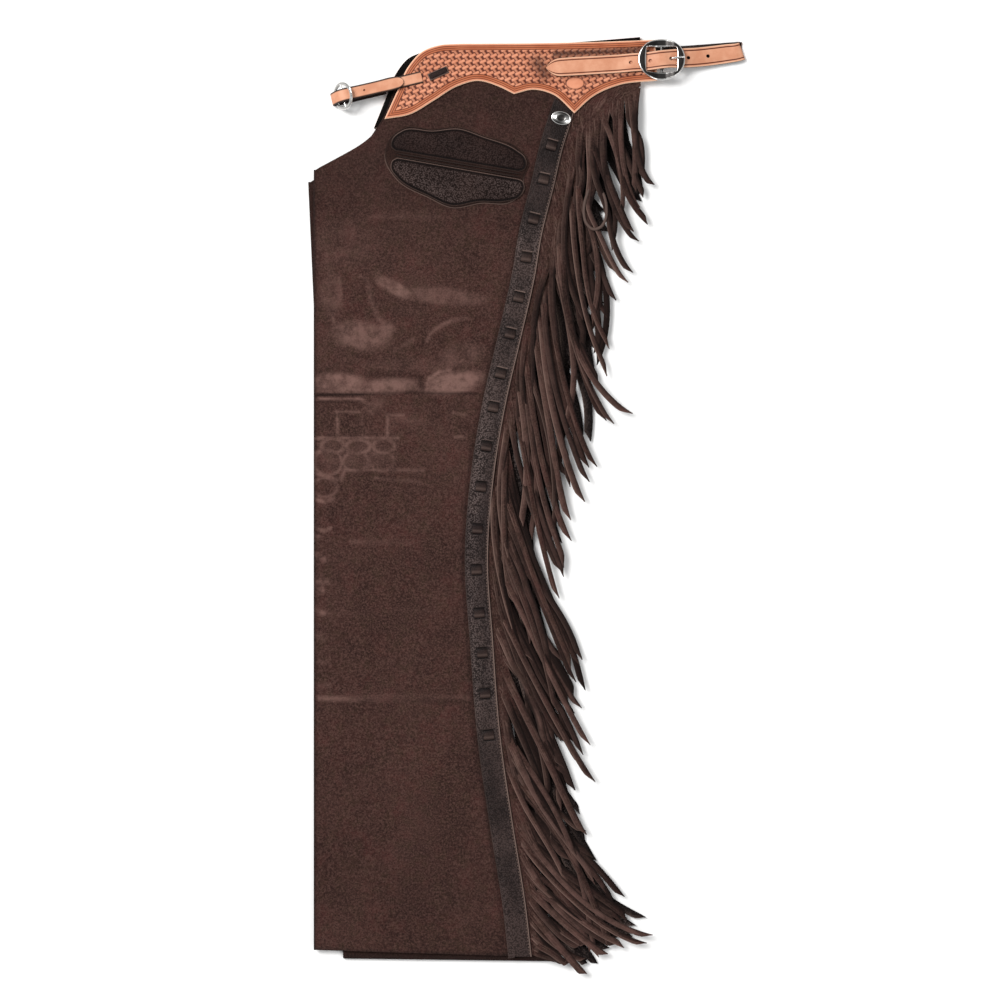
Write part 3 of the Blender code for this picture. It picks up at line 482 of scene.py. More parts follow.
def grain_material(name, dark, light, size, depth, roughness, shine):
    """Pebbled leather: cells lighter than the creases between them. Mask edge is a pale cut edge, and on
    the trim strip, pocket and laces a painted highlight; mask crease darkens, mostly as painted shade; mask
    gleam paints light on the crowns of the pebbles. Size is in pebbles per metre and depth in millimetres;
    shine is the strength of the mirror-like part."""
    material, tree, shader, place = start_material(name)
    grain = place_group(tree, pebble, place, size)
    cloud = spread(tree, noise(tree, place, 22.0, 3.0), 0.35, 0.65)
    colour = mix_colour(tree, cloud, dark, light)
    colour = mix_colour(tree, math_node(tree, "MULTIPLY", grain["Crease"], 0.6), colour, screen(18, 14, 13))
    crowns = spread(tree, math_node(tree, "ADD", grain["Cells"], noise(tree, place, size, 2.0)), 0.5, 1.55)
    colour = mix_colour(tree, math_node(tree, "MULTIPLY", mask_of(tree, "gleam"), crowns), colour,
                        screen(122, 106, 102))
    colour = tint(tree, colour, edge=screen(146, 122, 112), crease=screen(12, 8, 8))
    rough = math_node(tree, "MULTIPLY_ADD", grain["Crease"], 0.25, roughness)
    shader.inputs["Specular IOR Level"].default_value = shine
    finish_material(tree, shader, colour, rough, grain["Cells"], depth)
    return material


SUEDE = suede_material("brown_suede", screen(40, 25, 22), screen(53, 33, 29), screen(84, 60, 54),
                       screen(92, 66, 58))
FRINGE_SUEDE = suede_material("fringe_suede", screen(34, 21, 18), screen(49, 30, 27),
                              screen(77, 55, 49), screen(132, 106, 96), 0.34)
FRINGE_GRAIN = grain_material("fringe_grain_side", screen(22, 16, 15), screen(40, 31, 28),
                              520.0, 0.45, 0.5, 0.05)
STRIP_LEATHER = grain_material("strip_leather", screen(30, 20, 18), screen(54, 41, 38),
                               640.0, 0.3, 0.5, 0.12)
POCKET_BACK = grain_material("pocket_back_leather", screen(42, 27, 23), screen(56, 38, 33),
                             900.0, 0.16, 0.6, 0.04)
POCKET_SMOOTH = grain_material("pocket_leather", screen(27, 15, 13), screen(39, 24, 21),
                               640.0, 0.16, 0.55, 0.05)
POCKET_GRAIN = grain_material("pocket_pebbled", screen(26, 15, 13), screen(40, 27, 24),
                              640.0, 0.3, 0.55, 0.05)
LACE_LEATHER = grain_material("lace_leather", screen(34, 22, 20), screen(50, 37, 33),
                              1200.0, 0.12, 0.5, 0.1)
LINING = grain_material("black_lining", screen(8, 6, 5), screen(18, 14, 12), 900.0, 0.15, 0.6, 0.04)
print("dark finishes:", len(bpy.data.materials))

# %% [markdown]
# ## Tan leather and nickel
# Yoke and straps are vegetable tanned leather. A stamping tool presses the basket pattern: what stays high
# is pale, and the pressed ground is antique-stained dark. The masks come from the same formulas as the
# relief, so colour and form agree; the tooled lines also get painted shade, and painted shadow lines the
# back strap's edges. Nickel is plain bright metal, with darker tarnish where hands and cloth don't polish
# it, and a dark reflection painted on its flat faces.

# %% Tan leather and nickel


def tan_material(name, ground, high, border):
    """Stamped or plain tan leather driven by the masks stamp, border, crease, stain, edge and burnish. The
    mask crease darkens tooled lines and paints shade in them; stain adds real staining and painted shadow
    beside the straps; edge paints a highlight on the yoke's cut rim and a pale rim on the straps; burnish
    is a dyed edge darkened further with painted shade."""
    material, tree, shader, place = start_material(name)
    cloud = place_group(tree, veg, place, 60.0)
    colour = tint(tree, ground, stamp=high, border=border)
    shade = mix_colour(tree, cloud["Cloud"], screen(232, 216, 208), screen(252, 250, 250))
    colour = mix_colour(tree, 1.0, colour, shade, "MULTIPLY")
    colour = tint(tree, colour, crease=screen(84, 34, 18), stain=screen(58, 28, 16),
                  edge=screen(232, 188, 158), burnish=screen(34, 20, 15))
    shader.inputs["Specular IOR Level"].default_value = 0.22
    finish_material(tree, shader, colour, 0.5, cloud["Fibre"], 0.08)
    return material


def metal_material(name, bright, dull, roughness):
    """Bright metal, darker and rougher where the mask patina says so: tarnish in hollows, a dark reflection
    painted on flat faces, and painted shade on a hidden bar.
    """
    material, tree, shader, place = start_material(name, roughness, 1.0)
    scuff = spread(tree, noise(tree, place, 420.0, 3.0), 0.35, 0.7)
    colour = tint(tree, bright, patina=dull)
    rough = math_node(tree, "MULTIPLY_ADD", scuff, 0.1, roughness)
    rough = math_node(tree, "MULTIPLY_ADD", mask_of(tree, "patina"), 0.22, rough)
    finish_material(tree, shader, colour, rough, scuff, 0.01)
    return material


PLAIN_TAN = screen(211, 155, 124)
YOKE_LEATHER = tan_material("stamped_tan", screen(84, 32, 16), screen(213, 144, 111), screen(184, 108, 72))
STRAP_LEATHER = tan_material("strap_tan", PLAIN_TAN, PLAIN_TAN, PLAIN_TAN)
NICKEL = metal_material("bright_nickel", screen(232, 230, 226), screen(52, 50, 49), 0.14)
print("metal and tan finishes ready")

# %% [markdown]
# ## The seam and the heights
# Everything on the right half follows one curve, the back seam. The far leg is the same pattern
# turned by 2.6 degrees about a point on the seam, so anything on it is made like the near one and
# then turned. The heights repeat the solids': two panels a leg, two legs, then yoke and straps.

# %% Seam and heights
HIDE, FOLD_GAP = 1.8, 1.0
FAR_OUTER, FAR_INNER, NEAR_INNER, NEAR_OUTER = 0.9, 3.7, 5.9, 8.7
FAR_OUTER_AT_YOKE = 5.7
ON_LEG, ON_YOKE = 9.9, 13.4
LEG_LEFT, CROTCH_Y = -241.5, 383.0
SEAM_ALLOWANCE, STRIP_WIDTH = 7.0, 27.0
NEAR_HEM, FAR_HEM = (-506.0, -513.4), (-504.4, -518.4)
FAR_TURN, PIVOT = math.radians(2.58), np.array([49.0, 226.0])
SEAM = np.array([
    (447.0, 55.4), (405.0, 42.2), (363.0, 32.5), (311.0, 19.5), (259.0, 10.7), (190.0, -5.0),
    (114.0, -22.5), (27.0, -36.4), (-62.0, -42.4), (-150.0, -36.9), (-268.0, -27.5),
    (-364.0, -13.7), (-456.0, 0.8), (-514.0, 7.4)])


def seam_x(y):
    """Distance of the back seam at height y."""
    return smooth_curve(SEAM[::-1, 0], SEAM[::-1, 1], np.asarray(y, dtype=float))


def turn_far(points):
    """Turn points of the near pattern about the pivot into the far leg's place."""
    turned = np.array(points, dtype=float)
    x, y = turned[..., 0] - PIVOT[0], turned[..., 1] - PIVOT[1]
    turned[..., 0] = PIVOT[0] + x * math.cos(FAR_TURN) - y * math.sin(FAR_TURN)
    turned[..., 1] = PIVOT[1] + x * math.sin(FAR_TURN) + y * math.cos(FAR_TURN)
    return turned


print("seam at the hem:", float(seam_x(-510.0)))

# %% [markdown]
# ## Folds and rub marks
# Suede laid flat keeps soft swells where it was bent and pale marks where it was packed against
# something. A swell is a stretched bell: its height falls with the square of the distance along
# and across it. A mark is a stroke from one point to another with a soft width. Both are short
# tables, placed one by one.

# %% Folds and marks
# Swells and creases: centre x, centre y, angle in degrees, length, width, height
SWELLS = np.array([
    (-166.0, 139.0, -3.0, 85.0, 15.0, 1.7), (-135.0, 254.0, -12.0, 62.0, 22.0, 1.5),
    (-92.0, 208.0, 20.0, 42.0, 20.0, 1.3), (-190.0, 58.0, 0.0, 62.0, 30.0, 1.5),
    (-150.0, -219.0, 0.0, 98.0, 17.0, 1.6), (-130.0, -52.0, 8.0, 70.0, 26.0, 1.2),
    (-150.0, -125.0, -6.0, 80.0, 30.0, 1.3), (-118.0, -385.0, 80.0, 110.0, 38.0, 1.6),
    (-205.0, 126.0, 3.0, 34.0, 4.5, -1.5), (-112.0, 128.0, -8.0, 30.0, 5.0, -0.9),
    (-178.0, 228.0, -24.0, 30.0, 6.0, 0.8), (-158.0, 186.0, 62.0, 22.0, 7.0, 0.9),
    (-84.0, 158.0, 28.0, 26.0, 7.0, 0.8), (-212.0, 88.0, 90.0, 16.0, 4.0, 0.6),
    (-158.0, 92.0, 88.0, 17.0, 4.0, 0.5), (-190.0, 41.0, 0.0, 46.0, 4.0, -0.6),
    (-150.0, -226.0, 0.0, 92.0, 4.0, -0.8), (-120.0, 300.0, -6.0, 44.0, 8.0, 0.7),
    (-214.0, 300.0, 80.0, 30.0, 8.0, 0.6), (-96.0, -180.0, 84.0, 44.0, 9.0, 0.5),
    (-200.0, -330.0, 10.0, 40.0, 9.0, 0.6), (-70.0, -330.0, 78.0, 60.0, 9.0, 0.6),
    (-160.0, -450.0, -4.0, 60.0, 9.0, 0.5), (-60.0, 60.0, 76.0, 60.0, 8.0, 0.5),
    (-180.0, -20.0, 86.0, 40.0, 7.0, 0.5)])

# Rub strokes: from x, y to x, y, half width, strength
RUBS = np.array([
    (-112.3, 188, -107.7, 197, 2.2, 0.3), (-107.7, 197, -97.5, 205, 2.4, 0.4),
    (-97.5, 205, -83.8, 211, 2.2, 0.42), (-83.8, 211, -67.8, 214, 2.4, 0.34),
    (-113, 137, -110, 145, 2.2, 0.7), (-110, 145, -99, 152, 2.4, 0.7), (-99, 152, -86, 155, 2.4, 0.5),
    (-179.5, 256.5, -176, 235, 2.6, 0.18), (-176, 235, -168, 214, 2.8, 0.2),
    (-168, 214, -152, 199.5, 3.2, 0.24), (-198, 183.5, -211, 195, 2.2, 0.34),
    (-211, 195, -220, 214, 2.2, 0.28), (-212.6, 260, -210.3, 240, 2.0, 0.28),
    (-210.3, 240, -213.7, 229, 2.0, 0.24), (-188, 262, -180, 256, 2.0, 0.24),
    (-172, 262, -166, 268, 2.0, 0.2), (-150, 176, -128, 190, 2.4, 0.2),
    (-237, 122, -186, 122, 1.6, 0.62), (-190, 122, -172, 112, 3.0, 0.26),
    (-216, 107.2, -189.8, 107.2, 1.6, 0.5), (-214.2, 107.2, -214.2, 78.7, 1.6, 0.5),
    (-157.2, 103.7, -157.2, 77.5, 1.7, 0.5), (-157.9, 103.7, -138.5, 103.7, 1.6, 0.42),
    (-232.3, 77.5, -145.4, 77.5, 1.7, 0.52), (-186, 104, -186, 80, 1.5, 0.16),
    (-82.7, 106, -69, 104, 1.6, 0.32), (-80.4, 78.7, -71.3, 78.7, 1.8, 0.45),
    (-206, 41, -172, 41.6, 1.7, 0.48), (-172, 41.6, -115.7, 40.4, 1.6, 0.36),
    (-206, 41, -210.3, 30, 1.8, 0.45), (-171.6, 31.9, -120.3, 27.4, 1.6, 0.24),
    (-240, 76, -232, 77.5, 2.2, 0.6), (-240, 60, -234, 62, 2.2, 0.6),
    (-240, 38, -230, 33.5, 2.2, 0.5), (-230, 33.5, -214, 30, 2.0, 0.4),
    (-240, 8, -229, 4.5, 2.4, 0.6), (-229, 4.5, -219, 8, 2.2, 0.4),
    (-240, -24, -230, -29, 2.2, 0.6), (-230, -29, -222, -25, 2.0, 0.45),
    (-240, -34, -233, -36, 2.0, 0.5), (-240, -56, -229, -60, 2.2, 0.55),
    (-240, -84, -231, -89, 2.2, 0.55), (-231, -89, -224, -85, 2.0, 0.4),
    (-240, -93, -231, -96, 2.2, 0.5), (-240, -118, -229, -123, 2.2, 0.5),
    (-240, -148, -230, -151, 2.2, 0.5), (-236, -176.7, -223, -176.7, 1.8, 0.5),
    (-236, -206, -223, -206, 1.8, 0.5), (-236, -219.5, -150, -219, 1.7, 0.45),
    (-150, -219, -63, -220, 1.7, 0.36), (-200, -40, -130, -40.5, 1.6, 0.22),
    (-230, -121, -100, -121, 1.7, 0.14), (-180, 331, -97, 331, 2.0, 0.26),
    (-150, 100, -120, 96, 5.0, 0.12), (-228, 300, -222, 240, 6.0, 0.12)], dtype=float)

# Rubbed patches: centre x, centre y, angle, half length, half height, strength
PATCHES = np.array([
    (-148.8, 248.5, -28, 26, 8.0, 0.6), (-92, 239, -6, 48, 11, 0.3), (-187, 194, -8, 35, 17, 0.5),
    (-161, 198, 40, 14, 10, 0.4), (-213, 141, -2, 32, 12.0, 0.66), (-154.5, 137, 3, 36, 9.5, 0.62),
    (-82, 141, 10, 36, 13.0, 0.68), (-94, 132.5, 0, 36, 4.0, 0.7), (-196, 131.5, 0, 42, 4.0, 0.66),
    (-75, 170, 20, 30, 16, 0.2), (-172, 114, 35, 14, 8, 0.22),
    (-221, 240, 90, 26, 14, 0.2), (-222, 58, 90, 24, 12, 0.14), (-182, 56, 0, 38, 16, 0.12),
    (-130, 160, 0, 60, 10, 0.1), (-206, 300, 0, 40, 30, 0.1), (-150, -218, 0, 92, 5, 0.1)])

# Oval cells of the net of marks: centre x, centre y, half length, half height, strength
CELLS = np.array([
    (-219.5, 68.5, 13, 7.5, 0.5), (-191, 67.8, 14, 7.5, 0.5), (-161.5, 68.2, 12, 8, 0.42),
    (-225, 49.5, 15.5, 14.5, 0.46), (-193.5, 50.5, 14.5, 10.5, 0.42), (-163.5, 50.5, 14, 10.5, 0.32),
    (-229, 21, 14, 10.5, 0.34)])


def bells(x, y, table):
    """Sum of stretched bells: height times e to minus ((along/length)^2 + (across/width)^2)."""
    total = np.zeros(np.broadcast(x, y).shape)
    for cx, cy, angle, length, width, height in table:
        along, across = along_across(x - cx, y - cy, math.radians(angle))
        total += height * np.exp(-(along / length) ** 2 - (across / width) ** 2)
    return total


def strokes(x, y, table):
    """Strongest stroke at each point: strength times e to minus (distance/half width) squared."""
    flat = np.stack([x, y], axis=-1)
    best = np.zeros(x.shape)
    for x0, y0, x1, y1, width, strength in table:
        start, along = np.array([x0, y0]), np.array([x1 - x0, y1 - y0])
        share = np.clip(((flat - start) @ along) / (along @ along), 0.0, 1.0)
        gap = np.linalg.norm(flat - start - share[..., None] * along, axis=-1)
        best = np.maximum(best, strength * bell(gap, 0.0, width))
    return best


def patches(x, y, table):
    """Strongest soft-edged ellipse at each point, full inside half its size and gone at 1.25."""
    best = np.zeros(x.shape)
    for cx, cy, angle, length, width, strength in table:
        along, across = along_across(x - cx, y - cy, math.radians(angle))
        best = np.maximum(best, strength * (1 - ease(0.5, 1.25, np.hypot(along / length, across / width))))
    return best


def rings(x, y, table):
    """Strongest oval line at each point, which fades 1.7 mm to either side of the oval."""
    best = np.zeros(x.shape)
    for cx, cy, length, width, strength in table:
        off = np.abs(np.hypot((x - cx) / length, (y - cy) / width) - 1.0) * min(length, width)
        best = np.maximum(best, strength * bell(off, 0.0, 1.7))
    return best


def near_relief(x, y):
    """Folds of the near leg, fading out at the front fold, the strip and the pocket."""
    fade = ease(4.0, 34.0, x - LEG_LEFT) * ease(4.0, 30.0, seam_x(y) - STRIP_WIDTH - x)
    return bells(x, y, SWELLS) * fade * (1.0 - ease(300.0, 335.0, y))


print("highest fold:", round(float(near_relief(SWELLS[:, 0], SWELLS[:, 1]).max()), 2), "mm")

# %% [markdown]
# ## The two legs
# A leg is one hide wrapped round into a flat tube: an outer panel from the seam to the front
# fold, a half turn, and an inner panel back to the seam. A point is set by its share across and
# its share up the leg. Above the crotch only the outer panel goes on, so the cells there are
# dropped. A Solidify modifier gives the sheet its wall.

# %% Legs
# Above the crotch: left x, left y, right x, right y
TOP_ROWS = np.array([
    (-240.1, 383.0, 29.0, 383.0), (-214.0, 397.0, 34.0, 400.0), (-191.0, 410.0, 38.0, 416.0),
    (-176.0, 421.5, 42.0, 431.0), (-164.0, 436.0, 46.0, 447.0), (-151.0, 455.0, 57.0, 466.0),
    (-142.5, 474.0, 80.0, 481.0), (-134.0, 492.0, 106.0, 488.0), (-121.0, 509.0, 130.0, 495.0),
    (-103.0, 521.0, 143.0, 523.0)])
YOKE_RISE = (396.0, 434.0)


def uneven(*stretches):
    """Shares from 0 to 1, with its own number of even steps in each stretch between two shares."""
    return np.unique(np.round(np.concatenate([np.linspace(a, b, n + 1) for a, b, n in stretches]), 6))


def leg_sheet(hem, low, top_rows, share, inner_columns, height, inner):
    """Grid of a leg's middle surface: straight rows between the ends that hem and tables give."""
    fold_columns, low_rows, outer_columns = 6, len(low) - 1, len(share) - 1
    left_y, right_y = (y + (CROTCH_Y - y) * low for y in hem)
    ends_low = np.column_stack([np.full(len(low), LEG_LEFT), left_y,
                                seam_x(right_y) - SEAM_ALLOWANCE, right_y])
    steps = np.linspace(0, len(TOP_ROWS) - 1, top_rows + 1)[1:]
    ends_top = smooth_curve(np.arange(len(TOP_ROWS)), TOP_ROWS, steps)
    ends = np.concatenate([ends_low, ends_top])
    radius = (HIDE + FOLD_GAP) / 2
    turn_x = ends[:, 0] + np.where(np.arange(len(ends)) <= low_rows, HIDE / 2 + radius, 0.0)

    x = ends[:, 2:3] + (turn_x - ends[:, 2])[:, None] * share
    y = ends[:, 3:4] + (ends[:, 1] - ends[:, 3])[:, None] * share
    outer = np.stack([x, y, height(x, y)], axis=-1)
    angle = np.linspace(0, math.pi, fold_columns + 1)[1:]
    edge = outer[:, -1, 2][:, None]
    middle, reach = (edge + inner) / 2, (edge - inner) / 2
    fold = np.stack([turn_x[:, None] - radius * np.sin(angle), ends[:, 1:2] + 0 * angle,
                     middle + reach * np.cos(angle)], axis=-1)
    share = np.linspace(0, 1, inner_columns + 1)[1:]
    x = turn_x[:, None] + (ends[:, 2] - turn_x)[:, None] * share
    y = ends[:, 1:2] + (ends[:, 3] - ends[:, 1])[:, None] * share
    under = np.stack([x, y, np.full(x.shape, inner)], axis=-1)
    points = np.concatenate([outer, fold, under], axis=1)
    quads = grid_quads(*points.shape[:2]).reshape(len(points) - 1, -1, 4)
    keep = np.ones(quads.shape[:2], dtype=bool)
    keep[low_rows:, outer_columns:] = False
    return points, quads[keep]


def make_leg(name, node_name, points, quads, rub, crease):
    """Leg from a grid's points and those of its quads that are kept, with its wall added."""
    used = np.unique(quads)
    renumber = np.zeros(points.shape[0] * points.shape[1], dtype=int)
    renumber[used] = np.arange(len(used))
    leg = make_piece(name, points.reshape(-1, 3)[used], [renumber[quads]], SUEDE, "suede", (node_name,),
                     rub=rub.ravel()[used], crease=crease.ravel()[used], edge=np.zeros(len(used)))
    wall = leg.modifiers.new("hide", "SOLIDIFY")
    wall.thickness = HIDE * MM
    wall.offset = 0.0
    wall.use_even_offset = True
    return leg


# Creases, painted dark as shade along them: from x, y to x, y, half width, strength
CREASES = np.array([
    (-239.0, 126.6, -184.0, 127.4, 1.7, 0.8), (-184.0, 127.4, -120.0, 129.5, 1.8, 0.4),
    (-118.0, 129.0, -56.0, 128.4, 1.8, 0.5), (-121.0, 146.0, -117.0, 130.0, 2.4, 0.45),
    (-238.0, 118.6, -188.0, 118.8, 1.5, 0.35), (-236.0, -223.0, -70.0, -223.0, 1.8, 0.25),
    (-176.0, 150.0, -130.0, 146.0, 6.0, 0.25), (-236.0, 152.0, -200.0, 154.0, 5.0, 0.2)])

points, quads = leg_sheet(NEAR_HEM, uneven((0, 0.53, 92), (0.53, 0.9, 180), (0.9, 1, 20)), 40,
                          uneven((0, 0.2, 12), (0.2, 1, 100)), 8,
                          lambda x, y: NEAR_OUTER + near_relief(x, y), NEAR_INNER)
x, y = points[..., 0], points[..., 1]
outside = points[..., 2] > (NEAR_OUTER + NEAR_INNER) / 2
rub = np.max([strokes(x, y, RUBS), patches(x, y, PATCHES), rings(x, y, CELLS)], axis=0) * outside
# Painted shade: a shadow beside the strip, a dark line along the front fold's edge, and darker suede
# towards the yoke and the hem
beside_strip = 0.5 * outside * bell(x - seam_x(y), -STRIP_WIDTH - 2.0, 2.6)
front_fold = 0.85 * bell(x, LEG_LEFT, 3.0)
to_the_ends = outside * (0.3 * ease(250.0, 400.0, y) + 0.1 * ease(-250.0, -420.0, y))
crease = np.max([outside * strokes(x, y, CREASES), beside_strip, front_fold, to_the_ends], axis=0)
near_leg = make_leg("near_leg_suede", "leg_near", points, quads, rub, crease)

points, quads = leg_sheet(FAR_HEM, uneven((0, 1, 120)), 40, uneven((0, 1, 40)), 8,
                          lambda x, y: FAR_OUTER + (FAR_OUTER_AT_YOKE - FAR_OUTER) * ease(*YOKE_RISE, y),
                          FAR_INNER)
plain = np.zeros(points.shape[:2])
# The far leg is painted darker all over, as shade under the near leg
far_leg = make_leg("far_leg_suede", "leg_far", turn_far(points), quads, plain, plain + 0.6)
print("near leg quads:", len(near_leg.data.polygons), "far leg quads:", len(far_leg.data.polygons))

# %% [markdown]
# ## The fringe
# The fringe is the leg's own margin, cut into strips that hang down and outwards: 6 to 9 mm wide
# on the near leg, and up to twice that on the far one. The strips start side by side, cross each
# other and end in slanted tips. Each strip's middle line is a run of headings: an even bend, a
# curl near the tip and a slow sway. The finished line is turned and stretched as a whole so that
# it ends at its tip. All strips are one array of strip by section by corner.

# %% Fringe tables and paths
FRINGE_START = [(131.0, 482.0), (105.5, 479.0), (80.0, 468.5), (64.0, 456.0), (53.5, 439.0)]
ROOT_HEIGHTS = np.append(SEAM[1:-1, 0], -512.0)
ROOT_LINE = np.concatenate([FRINGE_START, np.column_stack([seam_x(ROOT_HEIGHTS), ROOT_HEIGHTS])])
ROOT_DISTANCE = run_lengths(ROOT_LINE)
ROOT_LENGTH = ROOT_DISTANCE[-1]
ROOT_INSET = 5.5
# Along the root line: distance, margin width, tip x, tip y, bend in degrees
FLOW = np.array([
    (0.0, 17.0, 140.0, 366.0, -8.0), (26.0, 21.0, 133.0, 336.0, -12.0),
    (53.0, 24.0, 124.0, 298.0, -18.0), (74.0, 24.0, 116.0, 262.0, -24.0),
    (94.0, 25.0, 106.0, 230.0, -26.0), (129.0, 27.0, 93.0, 188.0, -28.0),
    (172.0, 27.0, 80.0, 140.0, -28.0), (226.0, 24.0, 68.0, 84.0, -24.0),
    (279.0, 20.0, 62.0, 24.0, -22.0), (350.0, 16.0, 48.0, -45.0, -14.0),
    (428.0, 14.0, 35.0, -118.0, -8.0), (516.0, 14.0, 53.0, -203.0, -4.0),
    (560.0, 14.0, 62.0, -248.0, -2.0), (605.0, 14.0, 70.0, -282.0, 0.0),
    (650.0, 14.0, 66.0, -322.0, 2.0), (693.0, 14.0, 58.0, -358.0, 2.0),
    (740.0, 14.0, 63.0, -392.0, -2.0), (780.0, 14.0, 74.0, -418.0, -8.0),
    (811.0, 14.0, 82.0, -436.0, -14.0), (845.0, 14.0, 102.0, -462.0, -20.0),
    (870.0, 14.0, 128.0, -481.0, -26.0), (895.0, 14.0, 144.0, -487.0, -32.0),
    (918.0, 14.0, 138.0, -492.0, -28.0), (945.0, 14.0, 114.0, -498.0, -20.0),
    (965.0, 14.0, 101.0, -504.0, -14.0), (985.0, 14.0, 84.0, -519.0, -8.0),
    (1005.0, 13.0, 70.0, -531.0, -6.0), (1025.0, 12.0, 57.0, -523.0, 0.0),
    (1045.0, 12.0, 47.0, -519.0, 0.0), (1060.0, 12.0, 44.0, -519.0, 0.0)])
# Width of a strip along it, as shares of its length and of its width; where the slant of its
# tip starts, and how much of the width it takes away
TAPER = ((0, 0.12, 0.6, 0.93), (1.0, 0.92, 0.9, 0.88))
TIP_START, TIP_CUT = 0.93, 0.92
# Places of a strip's sections along it: close together at the slanted tip
SECTIONS = np.concatenate([np.linspace(0, 0.92, 27), [0.945, 0.965, 0.985, 1.0]])
# Corners of a strip's cross-section: share of half the width, share of the thickness
CORNERS = np.array([(1.0, 0.3), (0.72, 0.5), (0.0, 0.34), (-0.72, 0.5), (-1.0, 0.3),
                    (-1.0, -0.3), (-0.72, -0.5), (0.0, -0.5), (0.72, -0.5), (1.0, -0.3)])


def root_frame(wanted):
    """Points and outward directions at distances along the line where the fringe starts."""
    behind, middle, ahead = (smooth_curve(ROOT_DISTANCE, ROOT_LINE, np.clip(place, 0, ROOT_LENGTH))
                             for place in (wanted - 4.0, wanted, wanted + 4.0))
    travel = (ahead - behind) / np.linalg.norm(ahead - behind, axis=1)[:, None]
    return middle, np.column_stack([-travel[:, 1], travel[:, 0]])


def strip_lines(root, tip, bend, hook, sway, phase):
    """Middle lines as complex numbers: headings bend/2 to -bend/2, plus hook times the share
    cubed, plus a sine sway, summed up and then multiplied to reach from root to tip."""
    heading = np.radians(bend[:, None] * (0.5 - SECTIONS) + hook[:, None] * SECTIONS ** 3
                         + sway[:, None] * np.sin(7.5 * SECTIONS + phase[:, None]))
    pace = np.exp(1j * heading)
    steps = (pace[:, 1:] + pace[:, :-1]) / 2 * np.diff(SECTIONS)
    line = np.concatenate([np.zeros((len(root), 1)), np.cumsum(steps, axis=1)], axis=1)
    return root[:, None] + line * ((tip - root) / line[:, -1])[:, None]


def strip_solids(line, height, width, twist, slant, thickness):
    """Rounded flat strips on their lines: each section's corners lie along its side and up
    directions, turned by the twist; near the end one edge runs over to the other."""
    travel = np.gradient(line, axis=1)
    side = 1j * travel / np.abs(travel)
    half = width[:, None] / 2 * np.interp(SECTIONS, *TAPER)
    cut = ease(TIP_START, 1.01, SECTIONS) * TIP_CUT
    line = line + side * slant[:, None] * half * cut
    half = half * (1 - cut)
    turn = np.radians(twist[:, None] * ease(0.08, 0.7, SECTIONS))
    a, b = CORNERS[:, 0], CORNERS[:, 1] * thickness
    across = half[..., None] * a * np.cos(turn)[..., None] - b * np.sin(turn)[..., None]
    up = half[..., None] * a * np.sin(turn)[..., None] + b * np.cos(turn)[..., None]
    flat = line[..., None] + side[..., None] * across
    return np.stack([flat.real, flat.imag, height[..., None] + up], axis=-1)


def margin_solid(panel_height, edge_height):
    """Uncut margin beside the seam: a closed band, five points round, carried along the roots."""
    along = np.linspace(0, ROOT_LENGTH, 260)
    line, outward = root_frame(along)
    wide = np.interp(along, FLOW[:, 0], FLOW[:, 1]) - 3.0 + 1.2 * np.sin(along * 0.55)
    wide = wide * (0.2 + 0.8 * ease(0.0, 14.0, along))
    inner, outer = line - outward * ROOT_INSET, line + outward * wide[:, None]
    z_in, z_out = panel_height(inner[:, 1]), edge_height(outer[:, 1])
    half = np.full(len(along), HIDE / 2)
    ring = [(inner, z_in + half), (outer, z_out + half * 0.9), (outer + outward * 0.6, z_out),
            (outer, z_out - half), (inner, z_in - half)]
    points = np.stack([np.column_stack([flat, z]) for flat, z in ring], axis=1)
    return points, tube_faces(*points.shape[:2])


print("fringe table rows:", len(FLOW))

# %% [markdown]
# ### Growing the strips
# Strips are spread evenly along the roots with a little chance in each number: length, bend,
# curl, width and twist. A few strays get their tips from a table. Neighbours lie on different
# levels, so most crossing strips pass over each other.

# %% Near and far fringe
# Strays: tip x, tip y, bend, hook
STRAYS = np.array([
    (144.5, 364.0, -16.0, 34.0), (123.0, 359.0, -26.0, -34.0), (141.0, 323.0, -24.0, 30.0),
    (128.0, 338.6, -14.0, 20.0), (127.0, 299.8, -24.0, 22.0), (120.3, 311.0, -24.0, 16.0),
    (120.0, 264.0, -26.0, 18.0), (114.6, 253.0, -26.0, 14.0), (107.7, 227.0, -26.0, 12.0),
    (97.5, 180.0, -24.0, 12.0), (95.2, 149.0, -22.0, 8.0), (120.3, 102.6, -36.0, 26.0),
    (107.7, 97.0, -32.0, 18.0), (98.0, 92.0, -24.0, 6.0), (89.5, 95.8, -20.0, 10.0),
    (79.2, 43.3, -20.0, 8.0), (70.1, 26.2, -18.0, 4.0), (64.4, 3.4, -16.0, 4.0),
    (48.5, -17.1, -12.0, 0.0), (49.6, -41.0, -14.0, 4.0), (46.2, -69.5, -10.0, 4.0),
    (35.9, -106.0, -8.0, 0.0), (54.2, -185.8, -4.0, 0.0), (55.3, -201.8, -4.0, 0.0),
    (71.3, -273.6, -2.0, 0.0), (77.0, -316.0, -4.0, 4.0), (66.7, -376.2, -4.0, 0.0),
    (80.0, -425.0, -12.0, 4.0), (144.2, -491.3, -36.0, 12.0), (137.4, -500.5, -30.0, 10.0),
    (75.5, -507.0, 34.0, -20.0), (113.4, -500.5, -24.0, 8.0), (103.2, -501.6, -18.0, 4.0),
    (91.8, -513.0, -10.0, 0.0), (67.0, -535.0, -4.0, -4.0), (48.0, -523.0, 0.0, 0.0)])
# Strips that cross the others: root distance, tip x, tip y, bend, hook
CROSSERS = np.array([
    (800.0, 78.0, -509.0, 40.0, 6.0), (846.0, 96.0, -500.0, 16.0, -6.0),
    (560.0, 34.0, -236.0, 10.0, -8.0), (372.0, 30.0, -40.0, 22.0, -14.0),
    (236.0, 44.0, 92.0, 26.0, -16.0), (150.0, 74.0, 208.0, 24.0, -20.0),
    (96.0, 96.0, 292.0, 22.0, -24.0), (60.0, 108.0, 330.0, 18.0, -22.0)])
